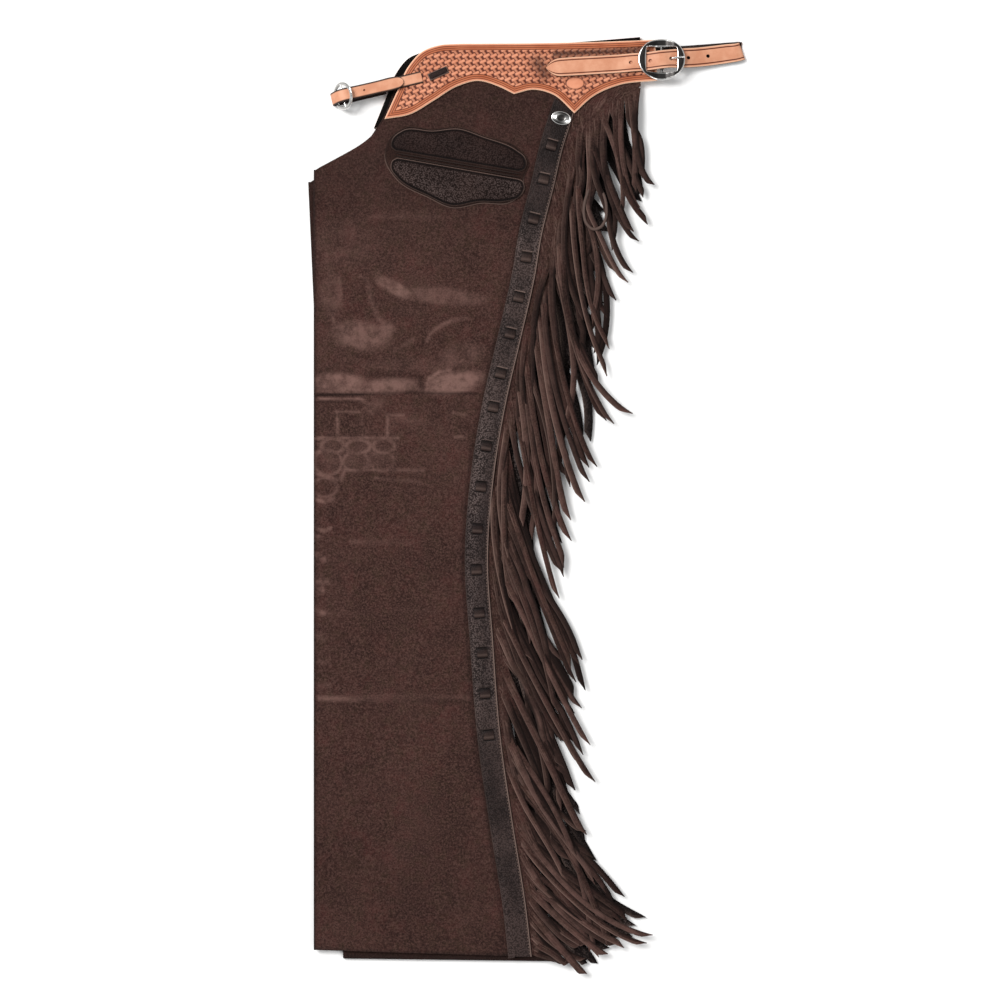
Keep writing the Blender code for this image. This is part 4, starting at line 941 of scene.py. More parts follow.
# Hollows where strips part, painted dark as shade: centre x, centre y, angle, half length, half width,
# depth
HOLLOWS = np.array([
    (124.6, 440.0, 94.0, 15.0, 3.6, 1.0), (80.0, 339.0, 84.0, 25.0, 7.5, 1.0),
    (43.0, 211.0, 90.0, 38.0, 3.2, 1.0),
    (-6.5, -206.0, 115.0, 19.0, 3.5, 1.0), (62.5, -417.0, 107.0, 17.0, 3.2, 1.0),
    (9.0, -238.5, 108.0, 22.0, 2.2, 1.0), (68.0, 350.0, 83.0, 16.0, 3.5, 1.0),
    (82.0, 402.5, 95.0, 13.0, 2.7, 1.0), (91.0, 375.0, 90.0, 11.0, 3.3, 0.9),
    (71.5, 392.0, 101.0, 14.5, 2.7, 0.9), (3.0, 105.5, 99.0, 12.0, 2.5, 1.0),
    (100.0, 401.5, 81.0, 12.0, 2.6, 1.0), (14.5, 165.5, 93.0, 13.5, 2.1, 1.0),
    (9.5, 69.5, 98.0, 10.0, 2.7, 1.0), (95.5, 436.5, 95.0, 9.0, 3.3, 1.0),
    (66.0, 278.0, 111.0, 10.0, 2.4, 0.9), (22.0, 216.5, 98.0, 11.0, 2.0, 1.0),
    (0.0, -177.5, 118.0, 15.0, 1.6, 0.9), (115.0, 415.5, 97.0, 8.0, 2.4, 0.9),
    (46.5, 156.5, 104.0, 9.0, 2.3, 0.9), (94.5, 340.0, 101.0, 11.0, 1.8, 0.9),
    (85.0, 434.5, 99.0, 9.0, 2.3, 0.9), (59.0, 197.0, 99.0, 9.0, 2.0, 0.9),
    (10.5, -95.5, 95.0, 10.0, 1.9, 0.9), (-7.0, 30.0, 102.0, 14.0, 1.5, 0.8),
    (-4.5, -52.5, 106.0, 13.0, 1.5, 0.8), (32.5, 234.0, 96.0, 8.0, 1.7, 0.9),
    (5.5, -344.0, 111.0, 10.0, 1.6, 0.8), (33.5, -234.0, 95.0, 7.0, 1.8, 0.9),
    (26.0, -436.5, 123.0, 9.0, 1.7, 0.8), (38.0, -372.0, 114.0, 12.0, 1.7, 0.8)])
STRIP_THICKNESS = 1.3
# No section of a strip comes closer to the table than this
STRIP_CLEARANCE = 0.05
# Hollows wider than this push all strips, by this share of the full push
WIDE_HOLLOW, WIDE_PUSH = 5.0, 0.8
# Strips below this level lie under the others: they make way and are shaded
UNDER_LEVEL = 0.75
# Pattern of the streaks: its shift from strip to strip; on the margin its scale, its lean in
# millimetres down the root for one outward, and places across and along it by corner
STREAK_SHIFT = 20.0
BAND_SCALE, BAND_LEAN = 0.45, 2.1
BAND_OUT = np.array([-ROOT_INSET, 20.0, 20.0, 20.0, -ROOT_INSET])
BAND_RUN = np.array([0.0, 60.0, 60.0, 60.0, 0.0])
# By corner of a strip's section: how pale its cut edge is, with a painted highlight on its left, lit side,
# and how much painted shade darkens its right side
CORNER_PALE = np.array([0.12, 0, 0, 0.3, 1.0, 1.0, 0, 0, 0, 0.12])
CORNER_DARK = np.array([0.9, 0.4, 0, 0, 0, 0, 0, 0, 0.8, 0.9])


def part_strips(line, free):
    """Push middle lines aside round each hollow. A strip's side and distance are its weighted
    means along the hollow, so it bows out as a whole. Strips with free 0 cross all hollows but
    the widest, which lies inside the lace's loop."""
    line = line.copy()
    for cx, cy, angle, length, width, depth in HOLLOWS:
        axis = np.exp(1j * math.radians(angle))
        place = (line - cx - 1j * cy) / axis
        weight = bell(place.real, 0.0, length) + 1e-9
        off = (weight * place.imag).sum(axis=1) / weight.sum(axis=1)
        moved = np.where(width > WIDE_HOLLOW, WIDE_PUSH, free)
        push = np.sign(off) * depth * (width + 2.0) * bell(off, 0.0, width + 5.0) * moved
        line += 1j * axis * push[:, None] * weight
    return line


def grow_fringe(count, strays, panel_height, edge_height, *, reach, steeper, broad, base, rise,
                drop, first=0.0):
    """Points, faces and masks of one fringe: the margin, and its strips in bundles that fall
    the same way. A bundle's tips are drawn to their middle, and each strip differs a little.
    Reach is the strips' share of their full length. Steeper, in degrees, and broad are given at
    places along the roots. Base, rise and drop set a strip's height by its level. First is where
    on the root line the strips begin."""
    bundle = np.repeat(np.arange(count), rng.integers(2, 6, count))[:count]

    def shared(spread_by):
        """One draw for each bundle, passed on to all of its strips."""
        return rng.normal(0, spread_by, count)[bundle]

    # Where each strip starts and ends, and how it bends
    distance = first + (np.arange(count) + 0.5) / count * (ROOT_LENGTH - first)
    distance = distance + rng.uniform(-1.0, 1.0, count)
    margin, tip_x, tip_y, bend = (np.interp(distance, FLOW[:, 0], FLOW[:, k]) for k in range(1, 5))
    loose = np.interp(distance, (0, 260, 420), (1.7, 1.5, 1.0))
    uneven_by = 0.22 + 0.2 * (loose - 1.0)
    reaches = reach * (1.0 - uneven_by * rng.beta(1.1, 1.6, count) - 0.1 * rng.random(count)[bundle])
    hook = (shared(12.0) + rng.normal(0, 7.0, count)) * loose
    bend = bend + (shared(12.0) + rng.normal(0, 6.0, count)) * loose
    plumb = rng.random(count) < 0.16
    aim = (shared(2.6) + rng.normal(0, 1.6, count)) * loose
    aim = aim - np.interp(distance, (0, 100, 260, 1060), steeper)
    aim = np.radians(aim - plumb * rng.uniform(4, 12, count))
    line, outward = root_frame(distance)
    start = line + outward * (margin - 10.0 + rng.uniform(-0.25, 0.2, count) * margin)[:, None]
    root = start[:, 0] + 1j * start[:, 1]
    own_tip = tip_x + 1j * tip_y
    middle = np.bincount(bundle, own_tip.real) + 1j * np.bincount(bundle, own_tip.imag)
    middle = (middle / np.bincount(bundle))[bundle]
    tip = middle + (own_tip - middle) * rng.uniform(0.1, 0.85, count)[bundle]
    over = np.zeros(count, dtype=bool)
    if len(strays):
        ends = strays[:, 0] + 1j * strays[:, 1]
        nearest = np.abs(own_tip[None, :] - ends[:, None]).argmin(axis=1)
        crossing = np.abs(distance[None, :] - CROSSERS[:, :1]).argmin(axis=1)
        chosen = np.concatenate([nearest, crossing])
        table = np.concatenate([strays, CROSSERS[:, 1:]])
        tip[chosen], bend[chosen], hook[chosen] = table[:, 0] + 1j * table[:, 1], table[:, 2], table[:, 3]
        reaches[chosen], aim[chosen], over[chosen] = 1.0, 0.0, True
    tip = root + (tip - root) * reaches * np.exp(1j * aim)
    paths = strip_lines(root, tip, bend, hook, rng.normal(0, 2.5, count), rng.uniform(0, 6.28, count))

    # Levels, heights and solids
    level = 0.5 * rng.random(count)[bundle] + 0.5 * ((np.arange(count) * 0.382) % 1.0)
    level = np.where(plumb, 0.6 + 0.4 * level, 0.85 * level)
    level = np.where(over, 0.95, level)
    under = level < UNDER_LEVEL
    if len(strays):
        paths = part_strips(paths, under)
    foot = edge_height(start[:, 1])[:, None]
    top = (base + rise * level)[:, None]
    height = foot + (top - foot) * ease(0.0, 0.25, SECTIONS)
    height -= drop * ease(0.6, 1.0, SECTIONS) * level[:, None]
    waves = np.sin(9.0 * SECTIONS + rng.uniform(0, 6.28, count)[:, None])
    height += 0.3 * waves * ease(0.1, 0.4, SECTIONS)
    width = ROOT_LENGTH / count * rng.uniform(0.85, 1.2, count)
    width = width * np.interp(distance, (60, 260, 600), broad)
    twist = rng.normal(-13.0, 11.0, count)
    slant = np.where(rng.random(count) < 0.7, 1.0, -1.0)
    solids = strip_solids(paths, height, width, twist, slant, STRIP_THICKNESS)
    lowest = solids[..., 2].min(axis=-1, keepdims=True)
    solids[..., 2] += np.maximum(STRIP_CLEARANCE - lowest, 0.0)
    band, band_faces = margin_solid(panel_height, edge_height)
    points = np.concatenate([solids.reshape(-1, 3), band.reshape(-1, 3)])
    faces = tube_faces(len(SECTIONS), len(CORNERS), count) + move_faces(band_faces, solids.size // 3)

    # Masks: some strips are turned and show their dark side, and each strip has its own tone. Painted shade
    # darkens the lower strips, their right sides and the hollows, and the base darks fade in from the
    # roots; a painted highlight lies on their left, lit sides over the pale cut edge
    edge = CORNER_PALE * (0.1 + 0.9 * rng.random(count)[:, None, None] ** 1.9)
    edge = edge * ease(0.02, 0.2, SECTIONS)[:, None]
    dark = 0.45 * rng.random(count) ** 2 + (0.62 + 0.2 * (loose - 1.0)) * (1.0 - level) + 0.06 * loose
    turned = (np.arange(count) * 0.618) % 1.0 < np.interp(distance, (0, 420, 700), (0.34, 0.26, 0.12))
    dark = np.where(turned, np.maximum(dark, 0.62), dark)
    dark = (dark[:, None, None] + CORNER_DARK) * ease(0.04, 0.3, SECTIONS)[:, None]
    shaded = np.where(under, 1.0, 0.25)[:, None, None]
    dark = dark + shaded * np.minimum(bells(solids[..., 0], solids[..., 1], HOLLOWS), 1.0)
    rub = (0.42 * rng.random(count) ** 2.0)[:, None, None] * ease(0.05, 0.35, SECTIONS)[:, None]
    gleam = (0.15 + 0.5 * rng.random(count) ** 2)[:, None, None]
    across = CORNERS[:, 0] * width[:, None, None] / 2 + STREAK_SHIFT * np.arange(count)[:, None, None]
    run = np.abs(tip - root)[:, None, None] * SECTIONS[:, None]
    band_across = BAND_SCALE * (np.linspace(0, ROOT_LENGTH, len(band))[:, None] - BAND_LEAN * BAND_OUT)

    def mask(on_strips, on_band=0.0):
        """Values for all points: the strips' first, then the margin's."""
        return np.concatenate([np.broadcast_to(on_strips, solids.shape[:3]).ravel(),
                               np.broadcast_to(on_band, band.shape[:2]).ravel()])

    return points, faces, {"edge": mask(edge), "crease": mask(np.clip(dark, 0, 0.95)),
                           "rub": mask(rub), "gleam": mask(gleam),
                           "across": mask(across, band_across), "run": mask(run, BAND_RUN)}


def near_panel(y):
    """The near leg's outer panel has the same height all along."""
    return np.full(len(y), NEAR_OUTER)


def near_edge(y):
    """Height of the near margin's outer edge: low beside the seam, high beside the yoke."""
    return 7.6 + (NEAR_OUTER - 7.6) * ease(395.0, 440.0, y)


def far_edge(y):
    """Height of the far margin: that of the far leg's outer panel, and a little more."""
    return FAR_OUTER + 0.1 + (FAR_OUTER_AT_YOKE - FAR_OUTER) * ease(*YOKE_RISE, y)


points, faces, masks = grow_fringe(
    150, STRAYS, near_panel, near_edge, reach=1.0, steeper=(0, 0, 0, 0), broad=(1.04, 1.04, 1.12),
    base=6.9, rise=7.0, drop=3.0)
near_fringe = make_piece("near_fringe_suede", points, faces, FRINGE_SUEDE, "suede", ("fringe_near",),
                         sharp=50.0, **masks)
points, faces, masks = grow_fringe(
    124, (), far_edge, far_edge, reach=0.86, steeper=(7, 3, 8, 8), broad=(1.75, 1.2, 0.95),
    base=1.1, rise=4.2, drop=0.4, first=12.0)
far_fringe = make_piece("far_fringe_grain", turn_far(points), faces, FRINGE_GRAIN, "suede",
                        ("fringe_far",), sharp=50.0, **masks)
print("near strips' faces:", len(near_fringe.data.polygons))

# %% [markdown]
# ## The stamped yoke
# The yoke is cut with a scalloped lower edge. Its surface is a ruled grid: each column runs
# straight from the lower to the upper edge. The basket stamp is a field of tilted bars in brick
# order: a point's distance to the nearest rounded bar says how high it stays. A smooth border
# with grooves follows the edge at fixed distances, and a plain oval is left where the tool
# wasn't used.

# %% Yoke
YOKE_LOW = np.array([
    (-160.6, 440.6), (-131.7, 446.0), (-104.3, 461.7), (-77.0, 478.2), (-54.0, 484.0),
    (-31.4, 477.9), (-13.1, 469.1)])
YOKE_MIDDLE = np.array([(-13.1, 469.1), (9.0, 474.0), (31.0, 468.6), (55.6, 447.2)])
YOKE_RIGHT = np.array([(55.6, 447.2), (78.0, 467.0), (105.5, 479.0), (149.9, 484.5)])
YOKE_HIGH = np.array([
    (-160.6, 440.6), (-146.5, 471.5), (-133.0, 501.0), (-117.2, 517.6), (-98.0, 524.6), (-80.0, 526.0),
    (-50.0, 526.3), (-6.3, 526.6), (84.9, 528.4), (147.6, 530.7)])
YOKE_THICKNESS = 3.2
BAR_PITCH, ROW_PITCH = 8.05, 6.7
# Stamped bars of the weave: shift x, shift y, turn in degrees, half length, half width, height
BARS = ((0.0, 0.0, 25.0, 3.7, 1.45, 1.0), (0.9, -3.3, -52.0, 2.7, 1.15, 0.68))
# Radius of a bar's corners, depth of the stamping, width of the border
BAR_CORNER, STAMP_DEPTH, BORDER = 0.7, 0.62, 7.2
# Plain oval: centre x, centre y, half length, half height
OVAL = (56.4, 481.1, 9.8, 6.5)
# Dark strokes: a stained patch at the strap's point, and painted shadow along the back strap's upper and
# lower edges. From x, y to x, y, half width, strength
STAINS = np.array([(14.0, 504.0, 22.0, 492.0, 9.0, 1.0), (34.0, 514.0, 132.0, 519.5, 4.6, 1.15),
                   (40.0, 487.0, 125.0, 492.5, 2.6, 0.5)])


def even_points(knots, count):
    """Points at even steps along a smooth curve through the knots."""
    distance = run_lengths(knots)
    fine = smooth_curve(distance, knots, np.linspace(0, distance[-1], 4000))
    run = run_lengths(fine)
    wanted = np.linspace(0, run[-1], count)
    return np.column_stack([np.interp(wanted, run, fine[:, k]) for k in (0, 1)])


def basket(x, y):
    """Height share of the weave: the highest bar at each point, in rows set like bricks. A bar
    is a box with round corners; its height falls smoothly just outside it."""
    best = np.zeros(x.shape)
    for shift_x, shift_y, turn, half_length, half_width, height in BARS:
        row = np.floor((y - shift_y) / ROW_PITCH)
        for row_step, column_step in ((i, j) for i in (-1, 0, 1) for j in (-1, 0, 1)):
            brick = 0.5 * ((row + row_step) % 2)
            column = np.floor((x - shift_x) / BAR_PITCH - brick) + column_step
            dx = x - shift_x - (column + brick + 0.5) * BAR_PITCH
            dy = y - shift_y - (row + row_step + 0.5) * ROW_PITCH
            along, across = np.abs(along_across(dx, dy, math.radians(turn)))
            along, across = along - half_length + BAR_CORNER, across - half_width + BAR_CORNER
            gap = (np.hypot(np.maximum(along, 0), np.maximum(across, 0))
                   + np.minimum(np.maximum(along, across), 0) - BAR_CORNER)
            best = np.maximum(best, height * (1.0 - ease(-0.35, 0.55, gap)))
    return best


def grooves(distance, places, width):
    """1 on each groove that follows the edge at one of the given distances, 0 off it."""
    return np.max([bell(distance, place, width) for place in places], axis=0)


low = np.concatenate([even_points(part, count) for part, count in
                      ((YOKE_LOW, 215), (YOKE_MIDDLE, 97), (YOKE_RIGHT, 138))])
high = even_points(YOKE_HIGH, len(low))
share = np.linspace(0, 1, 124)
up = share - 0.055 * np.sin(2 * math.pi * share)
flat = low[None] + (high - low)[None] * up[:, None, None]
flat[:, 0] += np.linspace(0, 0.4, len(share))[:, None] * np.array([0.4, 1.0])
loop = np.concatenate([low, high[::-1]])
distance = edge_distance(flat, loop[::2])
x, y = flat[..., 0], flat[..., 1]
inside = ease(BORDER - 0.4, BORDER + 0.5, distance)
from_oval = np.hypot((x - OVAL[0]) / OVAL[2], (y - OVAL[1]) / OVAL[3])
oval, oval_line = 1.0 - ease(0.93, 1.1, from_oval), bell(from_oval, 1.06, 0.07)
rim = 1 - ease(2.2, 2.8, distance)
stamp = np.max([basket(x, y) * inside, oval, rim], axis=0)
line_mask = grooves(distance, (2.7, 5.0, BORDER), 0.46)
lift = (STAMP_DEPTH * stamp * inside + 0.5 * (1 - inside) + 0.08 * rim - 0.38 * line_mask
        - 0.45 * oval_line * inside - 0.9 * (1 - ease(0.0, 0.9, distance)))
# The crease mask paints the grooves and the oval's line dark, tooled lines with painted shade in them; the
# edge mask paints a highlight along the cut rim; the stain mask adds real staining and painted shadow
# beside the back strap
yoke = relief_plate("near_yoke_stamped", flat, ON_LEG + YOKE_THICKNESS - STAMP_DEPTH + lift, ON_LEG,
                    YOKE_LEATHER, "tan_leather", ("yoke_near",), stamp=stamp,
                    border=(1 - inside) * (1 - rim),
                    crease=np.clip(line_mask + oval_line * inside, 0, 1) * 0.95,
                    edge=1 - ease(0.5, 1.1, distance), stain=0.75 * strokes(x, y, STAINS) * inside,
                    burnish=np.zeros(x.shape))
print("yoke faces:", len(yoke.data.polygons))

# %% [markdown]
# ## Trim strip and lace
# A strip of pebbled leather covers the back seam. Its right edge is turned over a cord, the
# piping, and sewn. A lace runs under the strip and comes up through pairs of slits. The strip is
# a grid along the seam by across, and its height dips at each slit and rises in a lip beside it.

# %% Trim strip
TRIM_THICKNESS = 2.0
STRIP_SPAN = (-513.2, 444.0)
# Right and left end of the slanted top edge
STRIP_TOP = np.array([(54.9, 446.2), (33.2, 465.0)])
LACE_Y = np.array([410.5, 372.1, 326.7, 283.1, 237.7, 196.1, 150.9, 112.6,
                   68.1, 21.9, -26.1, -72.8, -122.0, -167.4, -213.6, -261.0])
# A slit's distance from its lace's middle, and half its length
SLIT_REACH, SLIT_HALF = 5.4, 6.2
# Distances from the strip's left edge: its pressed line, the groove beside the piping, the
# piping and its pale crest
LEFT_LINE, GROOVE, PIPING, PALE_CREST = 2.2, 24.4, 25.9, 26.1

heights = np.linspace(*STRIP_SPAN, 960)
strip_right = np.column_stack([seam_x(heights), heights])
travel = np.gradient(strip_right, axis=0)
travel /= np.linalg.norm(travel, axis=1)[:, None]
strip_left = strip_right + np.column_stack([-travel[:, 1], travel[:, 0]]) * STRIP_WIDTH
strip_left[0, 1] = heights[0]
strip_right, strip_left = (np.vstack([side, end]) for side, end in
                           zip((strip_right, strip_left), STRIP_TOP))
across = np.unique(np.concatenate([np.linspace(low, high, count) for low, high, count in
                                   ((0, 0.08, 6), (0.08, 0.88, 18), (0.88, 1, 12))]))
flat = strip_left[:, None] + (strip_right - strip_left)[:, None] * across[None, :, None]
from_left = np.broadcast_to(across * STRIP_WIDTH, flat.shape[:2])
y = flat[..., 1]

lace_slope = (seam_x(LACE_Y + 5.0) - seam_x(LACE_Y - 5.0)) / 10.0
lace_turn = np.arctan2(10.0, lace_slope * 10.0) - math.pi / 2
lace_x = seam_x(LACE_Y) - STRIP_WIDTH / 2 / np.cos(lace_turn)
slit, lip, well, dark_slit = np.zeros((4, *flat.shape[:2]))
for cx, cy, turn in zip(lace_x, LACE_Y, lace_turn):
    over, along = along_across(flat[..., 0] - cx, y - cy, turn)
    inside = 1.0 - ease(SLIT_HALF - 0.6, SLIT_HALF + 0.6, np.abs(over))
    gap = np.abs(along) - SLIT_REACH
    round_lace = np.maximum(np.abs(over) / SLIT_HALF, np.abs(along) / SLIT_REACH)
    well = np.maximum(well, np.exp(-(round_lace / 1.25) ** 8))
    slit = np.maximum(slit, inside * bell(gap, 0.0, 0.9))
    dark_slit = np.maximum(dark_slit, inside * bell(gap, 0.4, 1.2))
    # The lip rises beside each slit; it and its painted highlight are strongest above the upper laces
    lip_share = np.where(along > 0, 0.15 + 0.85 * ease(-20.0, 200.0, cy), 0.1)
    lip = np.maximum(lip, inside * bell(gap, 1.5, 0.6) * lip_share)
piping, groove = bell(from_left, PIPING, 0.8), bell(from_left, GROOVE, 0.5)
edge_in = np.minimum(from_left, STRIP_WIDTH - from_left)
lift = (0.55 * piping - 0.3 * groove - 1.1 * slit + 0.45 * lip - 0.8 * (1 - ease(0.0, 0.8, edge_in))
        + 0.25 * ease(0.0, 6.0, edge_in) - 0.25 * bell(from_left, LEFT_LINE, 0.5))
# Pale: the piping's pale crest, a faint pale left edge, and a painted highlight on each lip
pale = 0.72 * bell(from_left, PALE_CREST, 0.55)
pale = np.clip(pale + 0.06 * bell(from_left, 0.7, 0.5) + 0.62 * lip, 0, 1)
smooth_top = ease(300.0, 350.0, y)
bend = bell(y, -15.0, 130.0)
gleam = (0.18 + 0.22 * bell(from_left, 4.0, 2.6) + 0.22 * (1 - bend) * bell(from_left, 22.5, 2.4)
         + bend * (0.42 * bell(from_left, 9.5, 5.5) - 0.08))
gleam = gleam * (1 - smooth_top) * (0.75 + 0.25 * np.sin(y / 41.0) + 0.15 * bend)
gleam = gleam * (0.35 + 0.65 * ease(-290.0, -200.0, y))
# Dark: painted shade in the slits, round each lace and in the groove beside the piping, and darker towards
# the top
dark = np.clip(dark_slit * 1.1 + 0.45 * well * (1 - lip) + 0.3 * smooth_top + 0.5 * groove, 0, 1)
relief_plate("trim_strip_pebbled", flat, ON_LEG + TRIM_THICKNESS - 0.3 + lift, ON_LEG, STRIP_LEATHER,
             "grained_leather", ("trim_strip",), edge=pale, gleam=gleam, crease=dark * (1 - lip))
print("trim strip length:", round(float(run_lengths(strip_right).max())), "mm")

# %% [markdown]
# ### The lace
# Each visible run of lace is a short bridge: it leaves one slit, lies over the strip and goes
# down into the next. Its height is half a cosine wave along its length, flattened by a power.

# %% Lace runs
LACE_WIDTH, LACE_THICKNESS = 11.6, 1.3
share = np.linspace(-1, 1, 13)
# Corners of the lace's section: share of half the width, share of the thickness
profile = np.array([(1.0, 0.2), (0.9, 0.5), (0.3, 0.6), (-0.3, 0.6), (-0.9, 0.5), (-1.0, 0.2),
                    (-0.9, -0.5), (0.9, -0.5)])
bow = ON_LEG + TRIM_THICKNESS - 0.5 + 1.25 * np.cos(share * math.pi / 2) ** 0.7
over = np.broadcast_to(profile[:, 0] * LACE_WIDTH / 2, (len(share), len(profile)))
along = np.broadcast_to(share[:, None] * (SLIT_REACH - 0.1), over.shape)
lift = bow[:, None] + profile[:, 1] * LACE_THICKNESS
cos, sin = np.cos(lace_turn)[:, None, None], np.sin(lace_turn)[:, None, None]
points = np.stack([lace_x[:, None, None] + over * cos - along * sin,
                   LACE_Y[:, None, None] + over * sin + along * cos,
                   np.broadcast_to(lift, (len(LACE_Y), *lift.shape))], axis=-1)
# Painted highlight on the lower third of each run, and painted shade over its upper part
light, shade = 0.15 * bell(share, -0.45, 0.28), 0.7 * ease(0.25, 0.95, share)
make_piece("lace_runs", points, tube_faces(len(share), len(profile), len(LACE_Y)), LACE_LEATHER,
           "dark_leather", [f"lace_{n:02d}" for n in range(1, 17)],
           edge=np.broadcast_to(light[:, None], points.shape[:3]),
           crease=np.broadcast_to(shade[:, None], points.shape[:3]))
print("lace runs:", len(LACE_Y))

# %% [markdown]
# ### The lace's loose end
# The lace ends in a loop that hangs over the fringe: a round cord whose two ends tuck in between
# the strips.

# %% Lace loop
# Middle of the cord: x, y, height
LOOP = np.array([
    (72.7, 369.0, 8.5), (71.0, 358.0, 13.6), (67.4, 346.0, 15.4), (66.2, 333.0, 15.6), (69.4, 321.0, 15.6),
    (77.0, 314.6, 15.6), (85.6, 317.4, 15.6), (91.0, 327.0, 15.6), (91.8, 340.0, 15.4), (89.6, 352.0, 13.6),
    (85.0, 363.0, 8.5)])
run = run_lengths(LOOP)
loop_line = smooth_curve(run, LOOP, np.linspace(0, run[-1], 90))
solid, solid_faces = rod(loop_line, 1.7, 10)
make_piece("lace_loop", solid, solid_faces, LACE_LEATHER, "dark_leather",
           edge=np.full(solid.shape[:2], 0.26), crease=np.zeros(solid.shape[:2]))
print("lace loop length:", round(float(run[-1])), "mm")

# %% [markdown]
# ## The pocket
# The pocket is a backing with two facings and a slanted opening between two welts. Each plate is
# a set of rings drawn in from its outline. Its height depends only on the distance from the
# edge: a rounded rim, a sewn groove, and a soft crown.

# %% Pocket
# Outlines: x, y, and 1 where there is a corner
POCKET = [
    (-160.6, 396.0, 0), (-155.0, 418.0, 0), (-136.0, 431.6, 0), (-106.0, 429.2, 0),
    (-77.0, 432.0, 0), (-48.0, 422.6, 0), (-8.0, 407.5, 0), (4.2, 391.0, 0), (-1.2, 375.0, 0),
    (-4.6, 355.0, 0), (-17.0, 345.6, 0), (-50.0, 344.4, 0), (-84.5, 339.4, 0),
    (-110.0, 350.5, 0), (-146.0, 370.6, 0)]
POCKET_UPPER = [
    (-148.0, 404.2, 1), (-153.0, 408.5, 0), (-152.0, 417.5, 0), (-140.0, 427.6, 0), (-105.3, 427.2, 0),
    (-76.0, 429.4, 0), (-49.0, 420.6, 0), (-10.0, 405.0, 0), (-0.6, 397.0, 0), (1.4, 390.0, 0),
    (-0.6, 383.5, 0), (-8.0, 380.4, 1)]
POCKET_LOWER = [
    (-146.0, 396.6, 1), (-9.0, 372.5, 1), (-3.4, 370.0, 0), (-1.0, 363.0, 0), (-6.5, 352.0, 0),
    (-24.0, 346.4, 0), (-52.0, 346.4, 0), (-84.5, 341.9, 0), (-112.0, 353.5, 0),
    (-146.0, 373.5, 0), (-153.6, 385.0, 0), (-152.0, 393.0, 0)]
MOUTH = np.array([(-149.0, 400.3), (-6.0, 376.0)])
BACKING, FACING = 1.2, 1.4


def padded_plate(name, knots, base, thickness, material, slot, nodes, groove, crown, gleam=0.0,
                 above=0.42, below=0.42):
    """Plate of rings: full thickness less a rounded rim and a sunk border, plus a crown inside. Above and
    below say how pale its cut edge is on its upper and on its lower side; where the two differ, the paler
    side is a painted highlight. The sunk border is painted dark as shade, less where the edge is pale."""
    loop = outline(knots)
    insets = np.concatenate([np.linspace(0, 0.16, 14), np.linspace(0.2, 0.97, 12)])
    flat = ring_grid(loop, insets)
    distance = edge_distance(flat, loop)
    line = grooves(distance, (groove,), 0.55)
    lift = -0.7 * (1 - ease(0.0, 0.9, distance)) - 0.35 * line
    lift = lift + crown * ease(groove, groove + 9.0, distance)
    border = ease(0.7, 1.5, distance) * (1 - ease(groove - 0.2, groove + 1.0, distance))
    face = ease(groove, groove + 1.5, distance)
    middle = (loop.max(axis=0) + loop.min(axis=0)) / 2
    rise = (flat - middle)[..., 1] + 0.17 * (flat - middle)[..., 0]
    pale = below + (above - below) * ease(-8.0, 8.0, rise)
    mottled = 0.82 + 0.18 * np.sin(flat[..., 0] / 19.0 + flat[..., 1] / 11.0)
    return relief_plate(name, flat, base + thickness + lift, base, material, slot, nodes, ring=True,
                        edge=pale * (1 - ease(0.3, 1.2, distance)), crease=(0.95 - 0.5 * pale) * border,
                        gleam=gleam * face * mottled)


# The backing's lower edge gets a painted highlight and its upper edge almost none; each facing's upper edge
# gets one
padded_plate("pocket_backing", POCKET, ON_LEG, BACKING, POCKET_BACK, "dark_leather",
             ("pocket_base",), 1.4, 0.0, above=0.04, below=0.34)
layer = ON_LEG + BACKING + 0.1
padded_plate("pocket_upper_facing", POCKET_UPPER, layer, FACING, POCKET_SMOOTH, "dark_leather",
             ("pocket_upper",), 2.8, 0.5, 0.1, above=0.4, below=0.1)
padded_plate("pocket_lower_facing", POCKET_LOWER, layer, FACING, POCKET_GRAIN, "grained_leather",
             ("pocket_lower",), 2.8, 0.5, 0.3, above=0.4, below=0.12)

# Welts: rods beside the mouth, 1.05 wide and 0.85 high from their middle, thinner at their ends
along = (MOUTH[1] - MOUTH[0]) / np.linalg.norm(MOUTH[1] - MOUTH[0])
up = np.array([-along[1], along[0]])
share = np.linspace(0, 1, 60)
round_share = np.minimum(1.0, 0.35 + 8 * np.minimum(share, 1 - share))[:, None]
angles = np.linspace(0, 2 * math.pi, 12, endpoint=False)
for piece_name, node_name, offset in (("pocket_welt_above", "pocket_welt_upper", 1.75),
                                      ("pocket_welt_below", "pocket_welt_lower", -1.75)):
    line = MOUTH[0] + (MOUTH[1] - MOUTH[0]) * share[:, None] + up * offset
    flat = line[:, None] + up * (1.05 * np.cos(angles))[None, :, None] * round_share[..., None]
    z = layer + 0.95 + 0.85 * np.sin(angles)[None] * round_share
    # The welts are darker all over, with a painted highlight along their tops
    make_piece(piece_name, np.concatenate([flat, z[..., None]], axis=-1), tube_faces(*z.shape),
               POCKET_SMOOTH, "dark_leather", (node_name,),
               edge=np.broadcast_to(0.13 * (np.sin(angles) > 0.8), z.shape), crease=np.full(z.shape, 0.6))
print("pocket plates made")

# %% [markdown]
# ## Straps
# A strap is a cross-section carried along a route. The section has rounded edges and two creased
# lines pressed near them with a hot tool. The side direction stays level and never flips, so the
# strap can turn back under itself. Its holes are cut with round cutters, which are then removed.

# %% Straps
STRAP_THICKNESS, CHAPE_THICKNESS = 1.8, 1.4
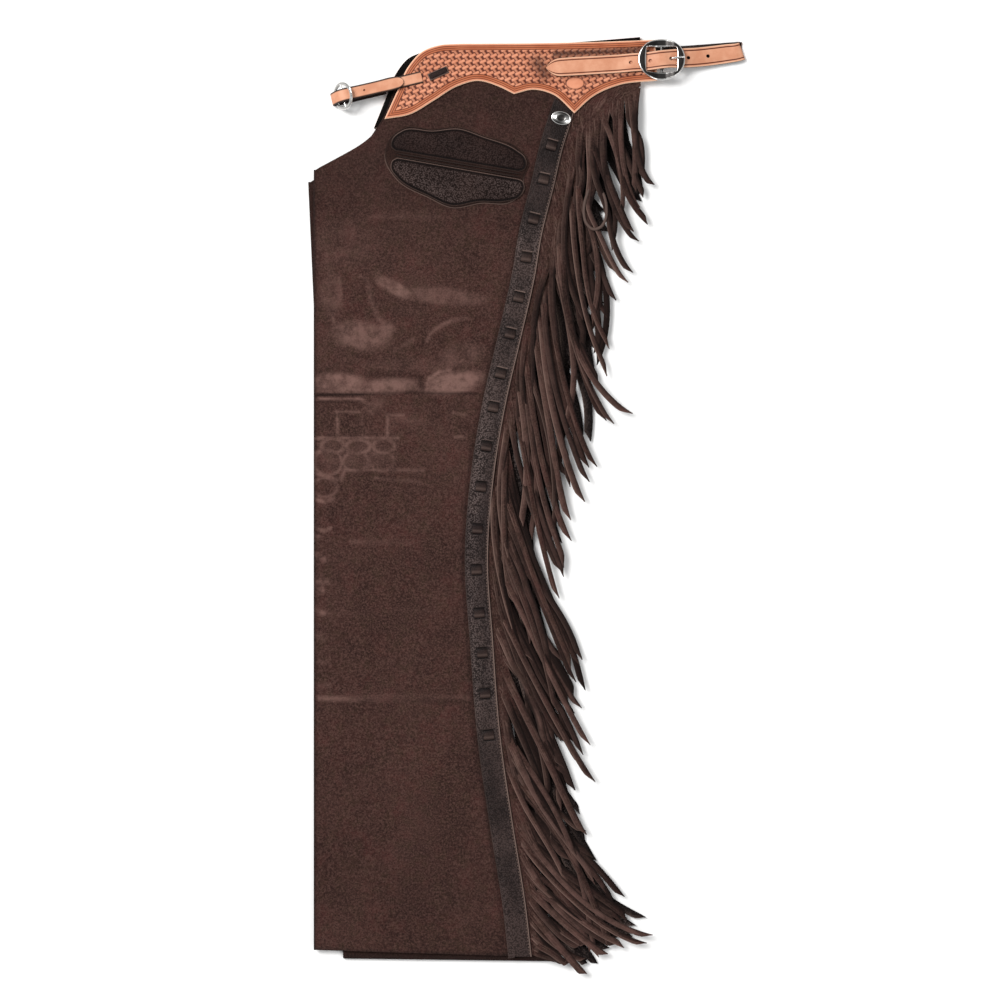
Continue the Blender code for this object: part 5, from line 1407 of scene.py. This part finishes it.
# Back strap from its point to the fold and back under: x, y, height, width share
BACK_ROUTE = np.array([
    (23.4, 498.2, 14.3, 0.06), (24.9, 498.3, 14.3, 0.26), (28.0, 498.5, 14.3, 0.55),
    (33.6, 498.8, 14.3, 0.88), (38.0, 499.0, 14.3, 0.98), (44.0, 499.4, 14.3, 1.0),
    (84.9, 501.8, 14.3, 1.0), (110.0, 503.4, 14.5, 1.0),
    (120.0, 504.1, 16.1, 1.0), (138.0, 505.4, 16.2, 1.0), (145.0, 506.0, 18.3, 1.0),
    (151.0, 506.6, 19.9, 1.0), (158.0, 507.4, 19.9, 1.0), (163.5, 508.1, 18.3, 1.0),
    (170.0, 508.7, 16.2, 1.03), (181.0, 509.7, 13.6, 1.07), (196.0, 511.4, 9.0, 1.07),
    (212.0, 513.6, 6.2, 1.07), (229.0, 516.0, 5.3, 1.05), (243.7, 518.2, 5.1, 1.0),
    (245.9, 519.0, 4.4, 1.0), (246.7, 519.2, 3.2, 1.0), (245.9, 519.5, 2.0, 1.0),
    (243.7, 520.0, 1.3, 1.0), (240.0, 519.7, 1.3, 1.0), (234.0, 519.3, 1.3, 1.0),
    (222.0, 518.4, 1.3, 1.0), (190.0, 516.0, 1.3, 1.0), (139.4, 512.9, 1.3, 1.0)])
# Rows of the back route before its fold, and up to the fold's end
BACK_BEFORE_FOLD, BACK_TO_FOLD_END = 20, 24
BACK_HOLES_X = (119.5, 141.6, 165.2, 185.4, 208.1)
BACK_CENTRE, BAR_HEIGHT = np.array([154.5, 507.6]), 14.7
BACK_CHAPE_Y = 505.4
FRONT_CENTRE, FRONT_ANGLE, FRONT_HEIGHT = np.array([-207.6, 466.4]), math.radians(13.6), 14.9
# Front strap: distance right of the bar, height, width share
FRONT_ROUTE = np.array([
    (70.4, 16.3, 0.28), (69.6, 16.3, 0.5), (68.0, 16.3, 0.74), (65.5, 16.3, 0.92), (61.0, 16.5, 1.0),
    (40.0, 17.0, 1.0), (18.0, 18.4, 1.0), (8.0, 19.8, 1.0), (0.0, 20.2, 1.0), (-5.4, 17.7, 1.0),
    (-9.7, 12.9, 1.0), (-12.5, 8.2, 1.0), (-13.2, 5.2, 1.0), (-12.5, 2.7, 1.0),
    (-10.8, 1.4, 1.0), (-8.0, 1.3, 1.0), (-4.0, 1.3, 1.0), (0.0, 1.3, 1.0), (30.0, 1.3, 1.0),
    (48.6, 1.3, 1.0)])
# Rows of the front route before its fold
FRONT_BEFORE_FOLD = 9
FRONT_HOLES = (25.0,)


def strap_section(width, thickness, creases=True):
    """Section from the right edge over the top to the left and back under: across, up, crease, pale rim,
    dark rim. Creased straps have a pale edge and a pressed line, others a dark edge. The dark rim is a dyed
    edge darkened further with painted shade, and the underside is painted dark as shade."""
    half, top = width / 2, thickness / 2
    across = [0.0, 0.25, 0.7, 1.3, 2.1, 2.4, 2.9, 3.4, 3.7]
    drop = [0.55, 0.25, 0.05, 0.0, 0.0, 0.12, 0.3, 0.12, 0.0] if creases else [0.5, 0.2, 0.05] + [0.0] * 6
    line = [0, 0, 0, 0, 0, 1, 1, 1, 0] if creases else [0] * 9
    pale = [0.2, 0.6, 0.8, 0.1, 0, 0, 0, 0, 0] if creases else [0] * 9
    dark = [1.0, 0.5, 0, 0, 0, 0, 0, 0, 0] if creases else [1.0, 1.0, 1.0, 0.9, 0.1, 0, 0, 0, 0]
    right = [(half - a, top - d, l, p, b) for a, d, l, p, b in zip(across, drop, line, pale, dark)]
    left = [(-row[0], *row[1:]) for row in right[::-1]]
    low = [(-half, 0.5 - top), (0.5 - half, -top), (half - 0.5, -top), (half, 0.5 - top)]
    return np.array(right + left + [(*point, 0, 0, 1) for point in low])


def carry(name, route, section, step, material, slot, nodes, dark_after=1e9):
    """Section carried along a route of x, y, height and width share, with its ends capped. Past the given
    run the strap lies turned back under itself, and that part is painted dark as shade."""
    run = run_lengths(route[:, :3])
    fine = smooth_curve(run, route, np.linspace(0, run[-1], int(run[-1] / step)))
    flat = np.gradient(fine[:, :2], axis=0)
    size = np.hypot(flat[:, 0], flat[:, 1])
    sides, last = [], None
    for step_xy, length in zip(flat, size):
        if last is None or length > 0.7 * step:
            side = np.array([-step_xy[1], step_xy[0]]) / length
            last = side if last is None or side @ last > 0 else -side
        sides.append(last)
    sides = np.column_stack([np.array(sides), np.zeros(len(sides))])
    forward = np.gradient(fine[:, :3], axis=0)
    forward /= np.linalg.norm(forward, axis=1)[:, None]
    up = np.cross(forward, sides)
    up /= np.linalg.norm(up, axis=1)[:, None]
    if up[0, 2] < 0:
        up = -up
    share = fine[:, 3][:, None]
    inner = np.sign(section[:, 0]) * np.minimum(np.abs(section[:, 0]) * share,
                                                np.abs(section[:, 0]).max() * share)
    points = fine[:, None, :3] + sides[:, None] * inner[..., None] + up[:, None] * section[None, :, 1:2]
    zero = np.zeros(points.shape[:2])
    inner_side = np.linspace(0, run[-1], len(fine))[:, None] > dark_after
    return make_piece(name, points, tube_faces(*points.shape[:2]), material, slot, nodes,
                      crease=section[:, 2] + zero, edge=section[:, 3] + zero,
                      burnish=np.maximum(section[:, 4] + zero, inner_side), stamp=zero + 0.5,
                      border=zero, stain=zero)


def cut_holes(strap, places, radius):
    """Cut round holes through a strap at places in millimetres with one cutter mesh."""
    sides, reach = 20, 1.9
    angles = np.linspace(0, 2 * math.pi, sides, endpoint=False)
    ring = np.column_stack([np.cos(angles), np.sin(angles)]) * radius
    points, faces = [], []
    for x, y, z in places:
        lower = len(points) + np.arange(sides)
        upper = lower + sides
        points += [(x + a, y + b, z + h) for h in (-reach, reach) for a, b in ring]
        faces += [lower[::-1].tolist(), upper.tolist()]
        faces += np.column_stack([lower, np.roll(lower, -1), np.roll(upper, -1), upper]).tolist()
    mesh = bpy.data.meshes.new("hole_cutter")
    mesh.from_pydata((np.array(points) * MM).tolist(), [], faces)
    cutter = bpy.data.objects.new("hole_cutter", mesh)
    bpy.context.scene.collection.objects.link(cutter)
    cut = strap.modifiers.new("holes", "BOOLEAN")
    cut.object = cutter
    cut.operation = "DIFFERENCE"
    bpy.context.view_layer.update()
    evaluated = strap.evaluated_get(bpy.context.evaluated_depsgraph_get())
    strap.data = bpy.data.meshes.new_from_object(evaluated)
    strap.modifiers.clear()
    bpy.data.objects.remove(cutter)


def front_point(along):
    """Point on the front strap's middle line at a distance right of the buckle's bar."""
    return FRONT_CENTRE + np.array([math.cos(FRONT_ANGLE), math.sin(FRONT_ANGLE)]) * along


back_strap = carry("back_strap", BACK_ROUTE, strap_section(20.8, STRAP_THICKNESS), 1.2, STRAP_LEATHER,
                   "tan_leather", ("back_billet",),
                   dark_after=run_lengths(BACK_ROUTE[:BACK_TO_FOLD_END, :3])[-1])
run_x, run_y, run_z = BACK_ROUTE[:BACK_BEFORE_FOLD, :3].T
cut_holes(back_strap, [(x, np.interp(x, run_x, run_y), np.interp(x, run_x, run_z))
                       for x in BACK_HOLES_X], 2.1)
route = np.array([(*front_point(s), z, share) for s, z, share in FRONT_ROUTE])
front_strap = carry("front_strap", route, strap_section(14.5, STRAP_THICKNESS, False), 0.8,
                    STRAP_LEATHER, "tan_leather", ("front_billet",))
run_s, run_z = FRONT_ROUTE[FRONT_BEFORE_FOLD - 1::-1, :2].T
cut_holes(front_strap, [(*front_point(s), np.interp(s, run_s, run_z)) for s in FRONT_HOLES], 1.2)


def hook(centre, radius, height, first, last):
    """Arc round a bar's middle, from the first angle to the last, in degrees."""
    angles = np.radians(np.linspace(first, last, 14))
    return np.column_stack([centre + radius * np.cos(angles), height + radius * np.sin(angles)])


lay = ON_YOKE + CHAPE_THICKNESS / 2
rise = np.concatenate([[(119.0, lay), (137.0, lay), (146.0, lay + 1.6)],
                       hook(BACK_CENTRE[0], 3.1, BAR_HEIGHT, 100.0, -90.0)])
route = np.column_stack([rise[:, 0], np.full(len(rise), BACK_CHAPE_Y), rise[:, 1], np.ones(len(rise))])
carry("back_chape_strap", route, strap_section(17.0, CHAPE_THICKNESS), 0.8, STRAP_LEATHER, "tan_leather",
      ("back_chape",))
rise = np.concatenate([[(92.0, lay), (60.0, lay), (30.0, lay + 0.8), (12.0, lay + 2.0)],
                       hook(0.0, 2.8, FRONT_HEIGHT, 80.0, 270.0)])
route = np.array([(*front_point(s), z, 1.0) for s, z in rise])
carry("front_chape_strap", route, strap_section(13.5, CHAPE_THICKNESS, False), 0.8, STRAP_LEATHER,
      "tan_leather", ("front_chape",))
print("strap holes cut:", len(BACK_HOLES_X) + len(FRONT_HOLES))

# %% [markdown]
# ## Buckles and concho
# A buckle ring is a band between an outer and an inner curve, both given by angle. Its section is a
# flattened round, so light runs along its rims, and its flat face is painted dark as a reflection. The back
# ring has a square window and bows up from its bar; the front ring leans in the strap's fold. The concho is
# an oval dome with raised rings and a dished middle, with a dark reflection painted on its upper and lower
# sides.

# %% Buckles and concho
BACK_RING, BACK_WINDOW = np.array([53.6, 46.7]), np.array([35.0, 28.5])
RING_THICKNESS = 2.5
FRONT_RING, FRONT_WINDOW, FRONT_TILT = 15.8, 11.9, math.radians(46.0)


def band_solid(outer, inner, thickness, count):
    """Ring whose section goes round from the inner to the outer curve: share in, share up."""
    angles = np.linspace(0, 2 * math.pi, count, endpoint=False)
    turn = np.linspace(0, 2 * math.pi, 20, endpoint=False)
    reach = 0.5 - 0.5 * np.sign(np.cos(turn)) * np.abs(np.cos(turn)) ** 0.45
    up = np.sign(np.sin(turn)) * np.abs(np.sin(turn)) ** 0.6 * thickness / 2
    direction = np.column_stack([np.cos(angles), np.sin(angles)])
    low, high = inner(angles)[:, None], outer(angles)[:, None]
    radius = low + (high - low) * reach
    flat = direction[:, None] * radius[..., None]
    points = np.concatenate([flat, np.broadcast_to(up, radius.shape)[..., None]], axis=-1)
    # The band's flat face is painted dark as a reflection, and its rims stay bright
    patina = np.broadcast_to(ease(0.1, 0.2, reach) * (1 - ease(0.8, 0.92, reach)), radius.shape)
    return points, [grid_quads(*radius.shape, ring=True, closed=True)], patina


def ellipse(half_x, half_y):
    """Radius of an ellipse by angle: one over the root of (cos/a) squared plus (sin/b) squared."""
    return lambda t: 1.0 / np.hypot(np.cos(t) / half_x, np.sin(t) / half_y)


def soft_square(half_x, half_y, power=14.0):
    """Radius of a square with round corners, as an ellipse with a high power in place of two."""
    return lambda t: (np.abs(np.cos(t) / half_x) ** power
                      + np.abs(np.sin(t) / half_y) ** power) ** (-1 / power)


def cross_bar(half_length, radius):
    """Straight bar along y, through the middle of a ring."""
    y = np.linspace(-1, 1, 9) * half_length
    return rod(np.column_stack([0 * y, y, 0 * y]), radius)


def join(blocks):
    """Points, faces and patina masks of several solids as one mesh."""
    points, faces, masks, start = [], [], [], 0
    for solid, solid_faces, mask in blocks:
        solid = solid.reshape(-1, 3)
        points.append(solid)
        faces += move_faces(solid_faces, start)
        masks.append(np.broadcast_to(mask, len(solid)) if np.ndim(mask) == 0 else mask.ravel())
        start += len(solid)
    return np.concatenate(points), faces, np.concatenate(masks)


def arch(x):
    """The back ring is low at its bar and rises to its two sides."""
    return 3.9 * ease(4.0, 15.0, np.abs(x))


ring, ring_faces, patina = band_solid(ellipse(*(BACK_RING / 2)), soft_square(*(BACK_WINDOW / 2)),
                                      RING_THICKNESS, 144)
ring[..., 2] += arch(ring[..., 0])
bar, bar_faces = cross_bar(BACK_WINDOW[1] / 2 + 0.3, 1.5)
# The bar is painted dark, as shade under the strap
points, faces, mask = join([(ring, ring_faces, patina), (bar, bar_faces, 0.9)])
make_piece("back_buckle_ring", points + (*BACK_CENTRE, BAR_HEIGHT), faces, NICKEL, "nickel",
           ("back_buckle_frame",), sharp=60.0, patina=mask)

# Middle of the tongue's wire: x, y, height
TONGUE = np.array([
    (159.1, 507.4, 13.9), (161.9, 507.7, 13.7), (164.1, 508.0, 15.2), (165.2, 508.1, 18.0),
    (166.3, 508.2, 20.4), (169.5, 508.6, 21.2), (176.5, 509.3, 21.4), (180.9, 509.8, 21.3)])
run = run_lengths(TONGUE)
fine = smooth_curve(run, TONGUE, np.linspace(0, run[-1], 60))
solid, solid_faces = rod(fine, np.interp(np.arange(60), [0, 8, 50, 59], [0.9, 1.1, 1.05, 0.6]))
make_piece("back_buckle_pin", solid, solid_faces, NICKEL, "nickel", ("back_buckle_tongue",), sharp=60.0,
           patina=np.zeros(solid.shape[:2]))

ring, ring_faces, patina = band_solid(ellipse(FRONT_RING, FRONT_RING),
                                      ellipse(FRONT_WINDOW, FRONT_WINDOW), 2.0, 96)
bar, bar_faces = cross_bar(FRONT_WINDOW + 1.0, 1.2)
points, faces, mask = join([(ring, ring_faces, 0.4 * patina), (bar, bar_faces, 0.0)])
x, z = along_across(points[:, 0], points[:, 2], -FRONT_TILT)
y, cos, sin = points[:, 1], math.cos(FRONT_ANGLE), math.sin(FRONT_ANGLE)
turned = np.column_stack([x * cos - y * sin, x * sin + y * cos, z])
make_piece("front_buckle_ring", turned + (*FRONT_CENTRE, FRONT_HEIGHT), faces, NICKEL, "nickel",
           ("front_buckle_frame",), sharp=60.0, patina=mask)

# Centre x, centre y, half length, half height, turn
CONCHO = (40.5, 441.5, 11.6, 7.6, math.radians(-12.0))
# Share of the radius, height, patina
CONCHO_PROFILE = np.array([
    (1.0, 0.0, 0.2), (1.0, 0.5, 0.1), (0.97, 0.9, 0.0), (0.92, 1.05, 0.0), (0.87, 0.9, 0.2),
    (0.83, 0.75, 0.4), (0.78, 1.0, 0.1), (0.66, 1.7, 0.0), (0.55, 2.2, 0.0),
    (0.46, 2.35, 0.2), (0.38, 2.1, 0.8), (0.25, 1.8, 1.0), (0.1, 1.7, 1.0), (0.02, 1.7, 1.0)])
angles = np.linspace(0, 2 * math.pi, 56, endpoint=False)
share, height, patina = (CONCHO_PROFILE[:, [k]] for k in range(3))
x, y = share * CONCHO[2] * np.cos(angles), share * CONCHO[3] * np.sin(angles)
cos, sin = math.cos(CONCHO[4]), math.sin(CONCHO[4])
flat = np.stack([CONCHO[0] + x * cos - y * sin, CONCHO[1] + x * sin + y * cos], axis=-1)
base = ON_LEG + TRIM_THICKNESS + 0.3
# Painted dark reflection on the dome's upper and lower sides, leaving its left and right ends bright
dull_sides = 0.9 * (1 - np.abs(np.cos(angles + 0.25)) ** 2.5) * (share < 0.9)
relief_plate("concho_dome", flat, base + 0.2 + np.broadcast_to(height, x.shape), base, NICKEL, "nickel",
             ("concho",), ring=True, patina=np.clip(patina + dull_sides, 0, 1))
print("buckles and concho made")

# %% [markdown]
# ## Keeper tab, far yoke and lining
# A small dark tab is sewn to the yoke where the front strap ends. The far yoke lies face down, so
# only its black lining and its edges show. The solids of the far yoke and its lining already
# have the right shape, and only get their finish.

# %% Tab and far yoke
# Centre x, centre y, length, height, turn
TAB = (-99.3, 492.1, 23.4, 8.2, math.radians(23.6))
corner = np.array([(1, 1), (-1, 1), (-1, -1), (1, -1)]) * (TAB[2] / 2, TAB[3] / 2)
turn = np.array([[math.cos(TAB[4]), math.sin(TAB[4])], [-math.sin(TAB[4]), math.cos(TAB[4])]])
knots = [(*point, 1) for point in corner @ turn + TAB[:2]]
padded_plate("keeper_tab", knots, ON_YOKE - 0.3, 2.3, LACE_LEATHER, "dark_leather", ("yoke_tab",), 1.4, 0.3)
for node_name, material in (("yoke_far", STRAP_LEATHER), ("yoke_lining_far", LINING)):
    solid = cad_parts[node_name]
    solid.data.materials.clear()
    solid.data.materials.append(material)
print("kept solids: yoke_far, yoke_lining_far")

# %% [markdown]
# ## Thread
# The trim strip is sewn beside its piping. A stitch is a tiny spindle, and all stitches of the
# seam are one array: each stitch's points are its middle plus its direction times the spindle.

# %% Stitches


def stitches(name, middle, direction, height, length, radius, material, slot):
    """Spindles of five rings of six points, fat in the middle, lying along their directions."""
    share = np.array([-1.0, -0.6, 0.0, 0.6, 1.0])
    fat = np.array([0.25, 0.8, 1.0, 0.8, 0.25]) * radius
    angles = np.linspace(0, 2 * math.pi, 6, endpoint=False)
    side = np.column_stack([-direction[:, 1], direction[:, 0]])
    flat = (middle[:, None, None] + direction[:, None, None] * (share * length / 2)[None, :, None, None]
            + side[:, None, None] * (fat[:, None] * np.cos(angles))[None, :, :, None])
    z = height + (1 - share ** 2)[:, None] * 0.15 + fat[:, None] * np.sin(angles)
    points = np.concatenate([flat, np.broadcast_to(z, flat.shape[:3])[..., None]], axis=-1)
    faces = tube_faces(len(share), len(angles), len(middle))
    pale = np.full(points.shape[:3], 0.6)
    return make_piece(name, points, faces, material, slot, edge=pale, crease=0 * pale)


def even_stitches(line, pitch):
    """Middles and directions of stitches at an even pitch along a line."""
    run = run_lengths(line)
    places = np.arange(pitch, run[-1] - pitch, pitch)
    behind, middle, ahead = (np.column_stack([np.interp(at, run, line[:, k]) for k in (0, 1)])
                             for at in (places - 0.5, places, places + 0.5))
    direction = ahead - behind
    return middle, direction / np.linalg.norm(direction, axis=1)[:, None]


thread_line = strip_right[:-1] + (strip_left[:-1] - strip_right[:-1]) * (2.6 / STRIP_WIDTH)
middle, direction = even_stitches(thread_line, 3.6)
stitches("strip_thread", middle, direction, ON_LEG + TRIM_THICKNESS - 0.15, 2.5, 0.3, LACE_LEATHER,
         "dark_leather")
print("stitches along the strip:", len(middle))

# %% [markdown]
# ## The table
# The table is a stage, not part of the chaps.

table_mesh = bpy.data.meshes.new("table")
# The table in metres: half its width, and its height, just under the leather
TABLE_HALF, TABLE_HEIGHT = 30.0, -0.0004
table_mesh.from_pydata([(x * TABLE_HALF, y * TABLE_HALF, TABLE_HEIGHT)
                        for x, y in ((-1, -1), (1, -1), (1, 1), (-1, 1))], [], [(0, 1, 2, 3)])
table = bpy.data.objects.new("table", table_mesh)
bpy.context.scene.collection.objects.link(table)
paper, tree, shader, place = start_material("pale_table", 0.8)
speck = spread(tree, noise(tree, place, 3.0), 0.3, 0.7)
put(tree, shader.inputs["Base Color"],
    mix_colour(tree, speck, (0.9, 0.895, 0.885, 1.0), (0.92, 0.915, 0.905, 1.0)))
table_mesh.materials.append(paper)
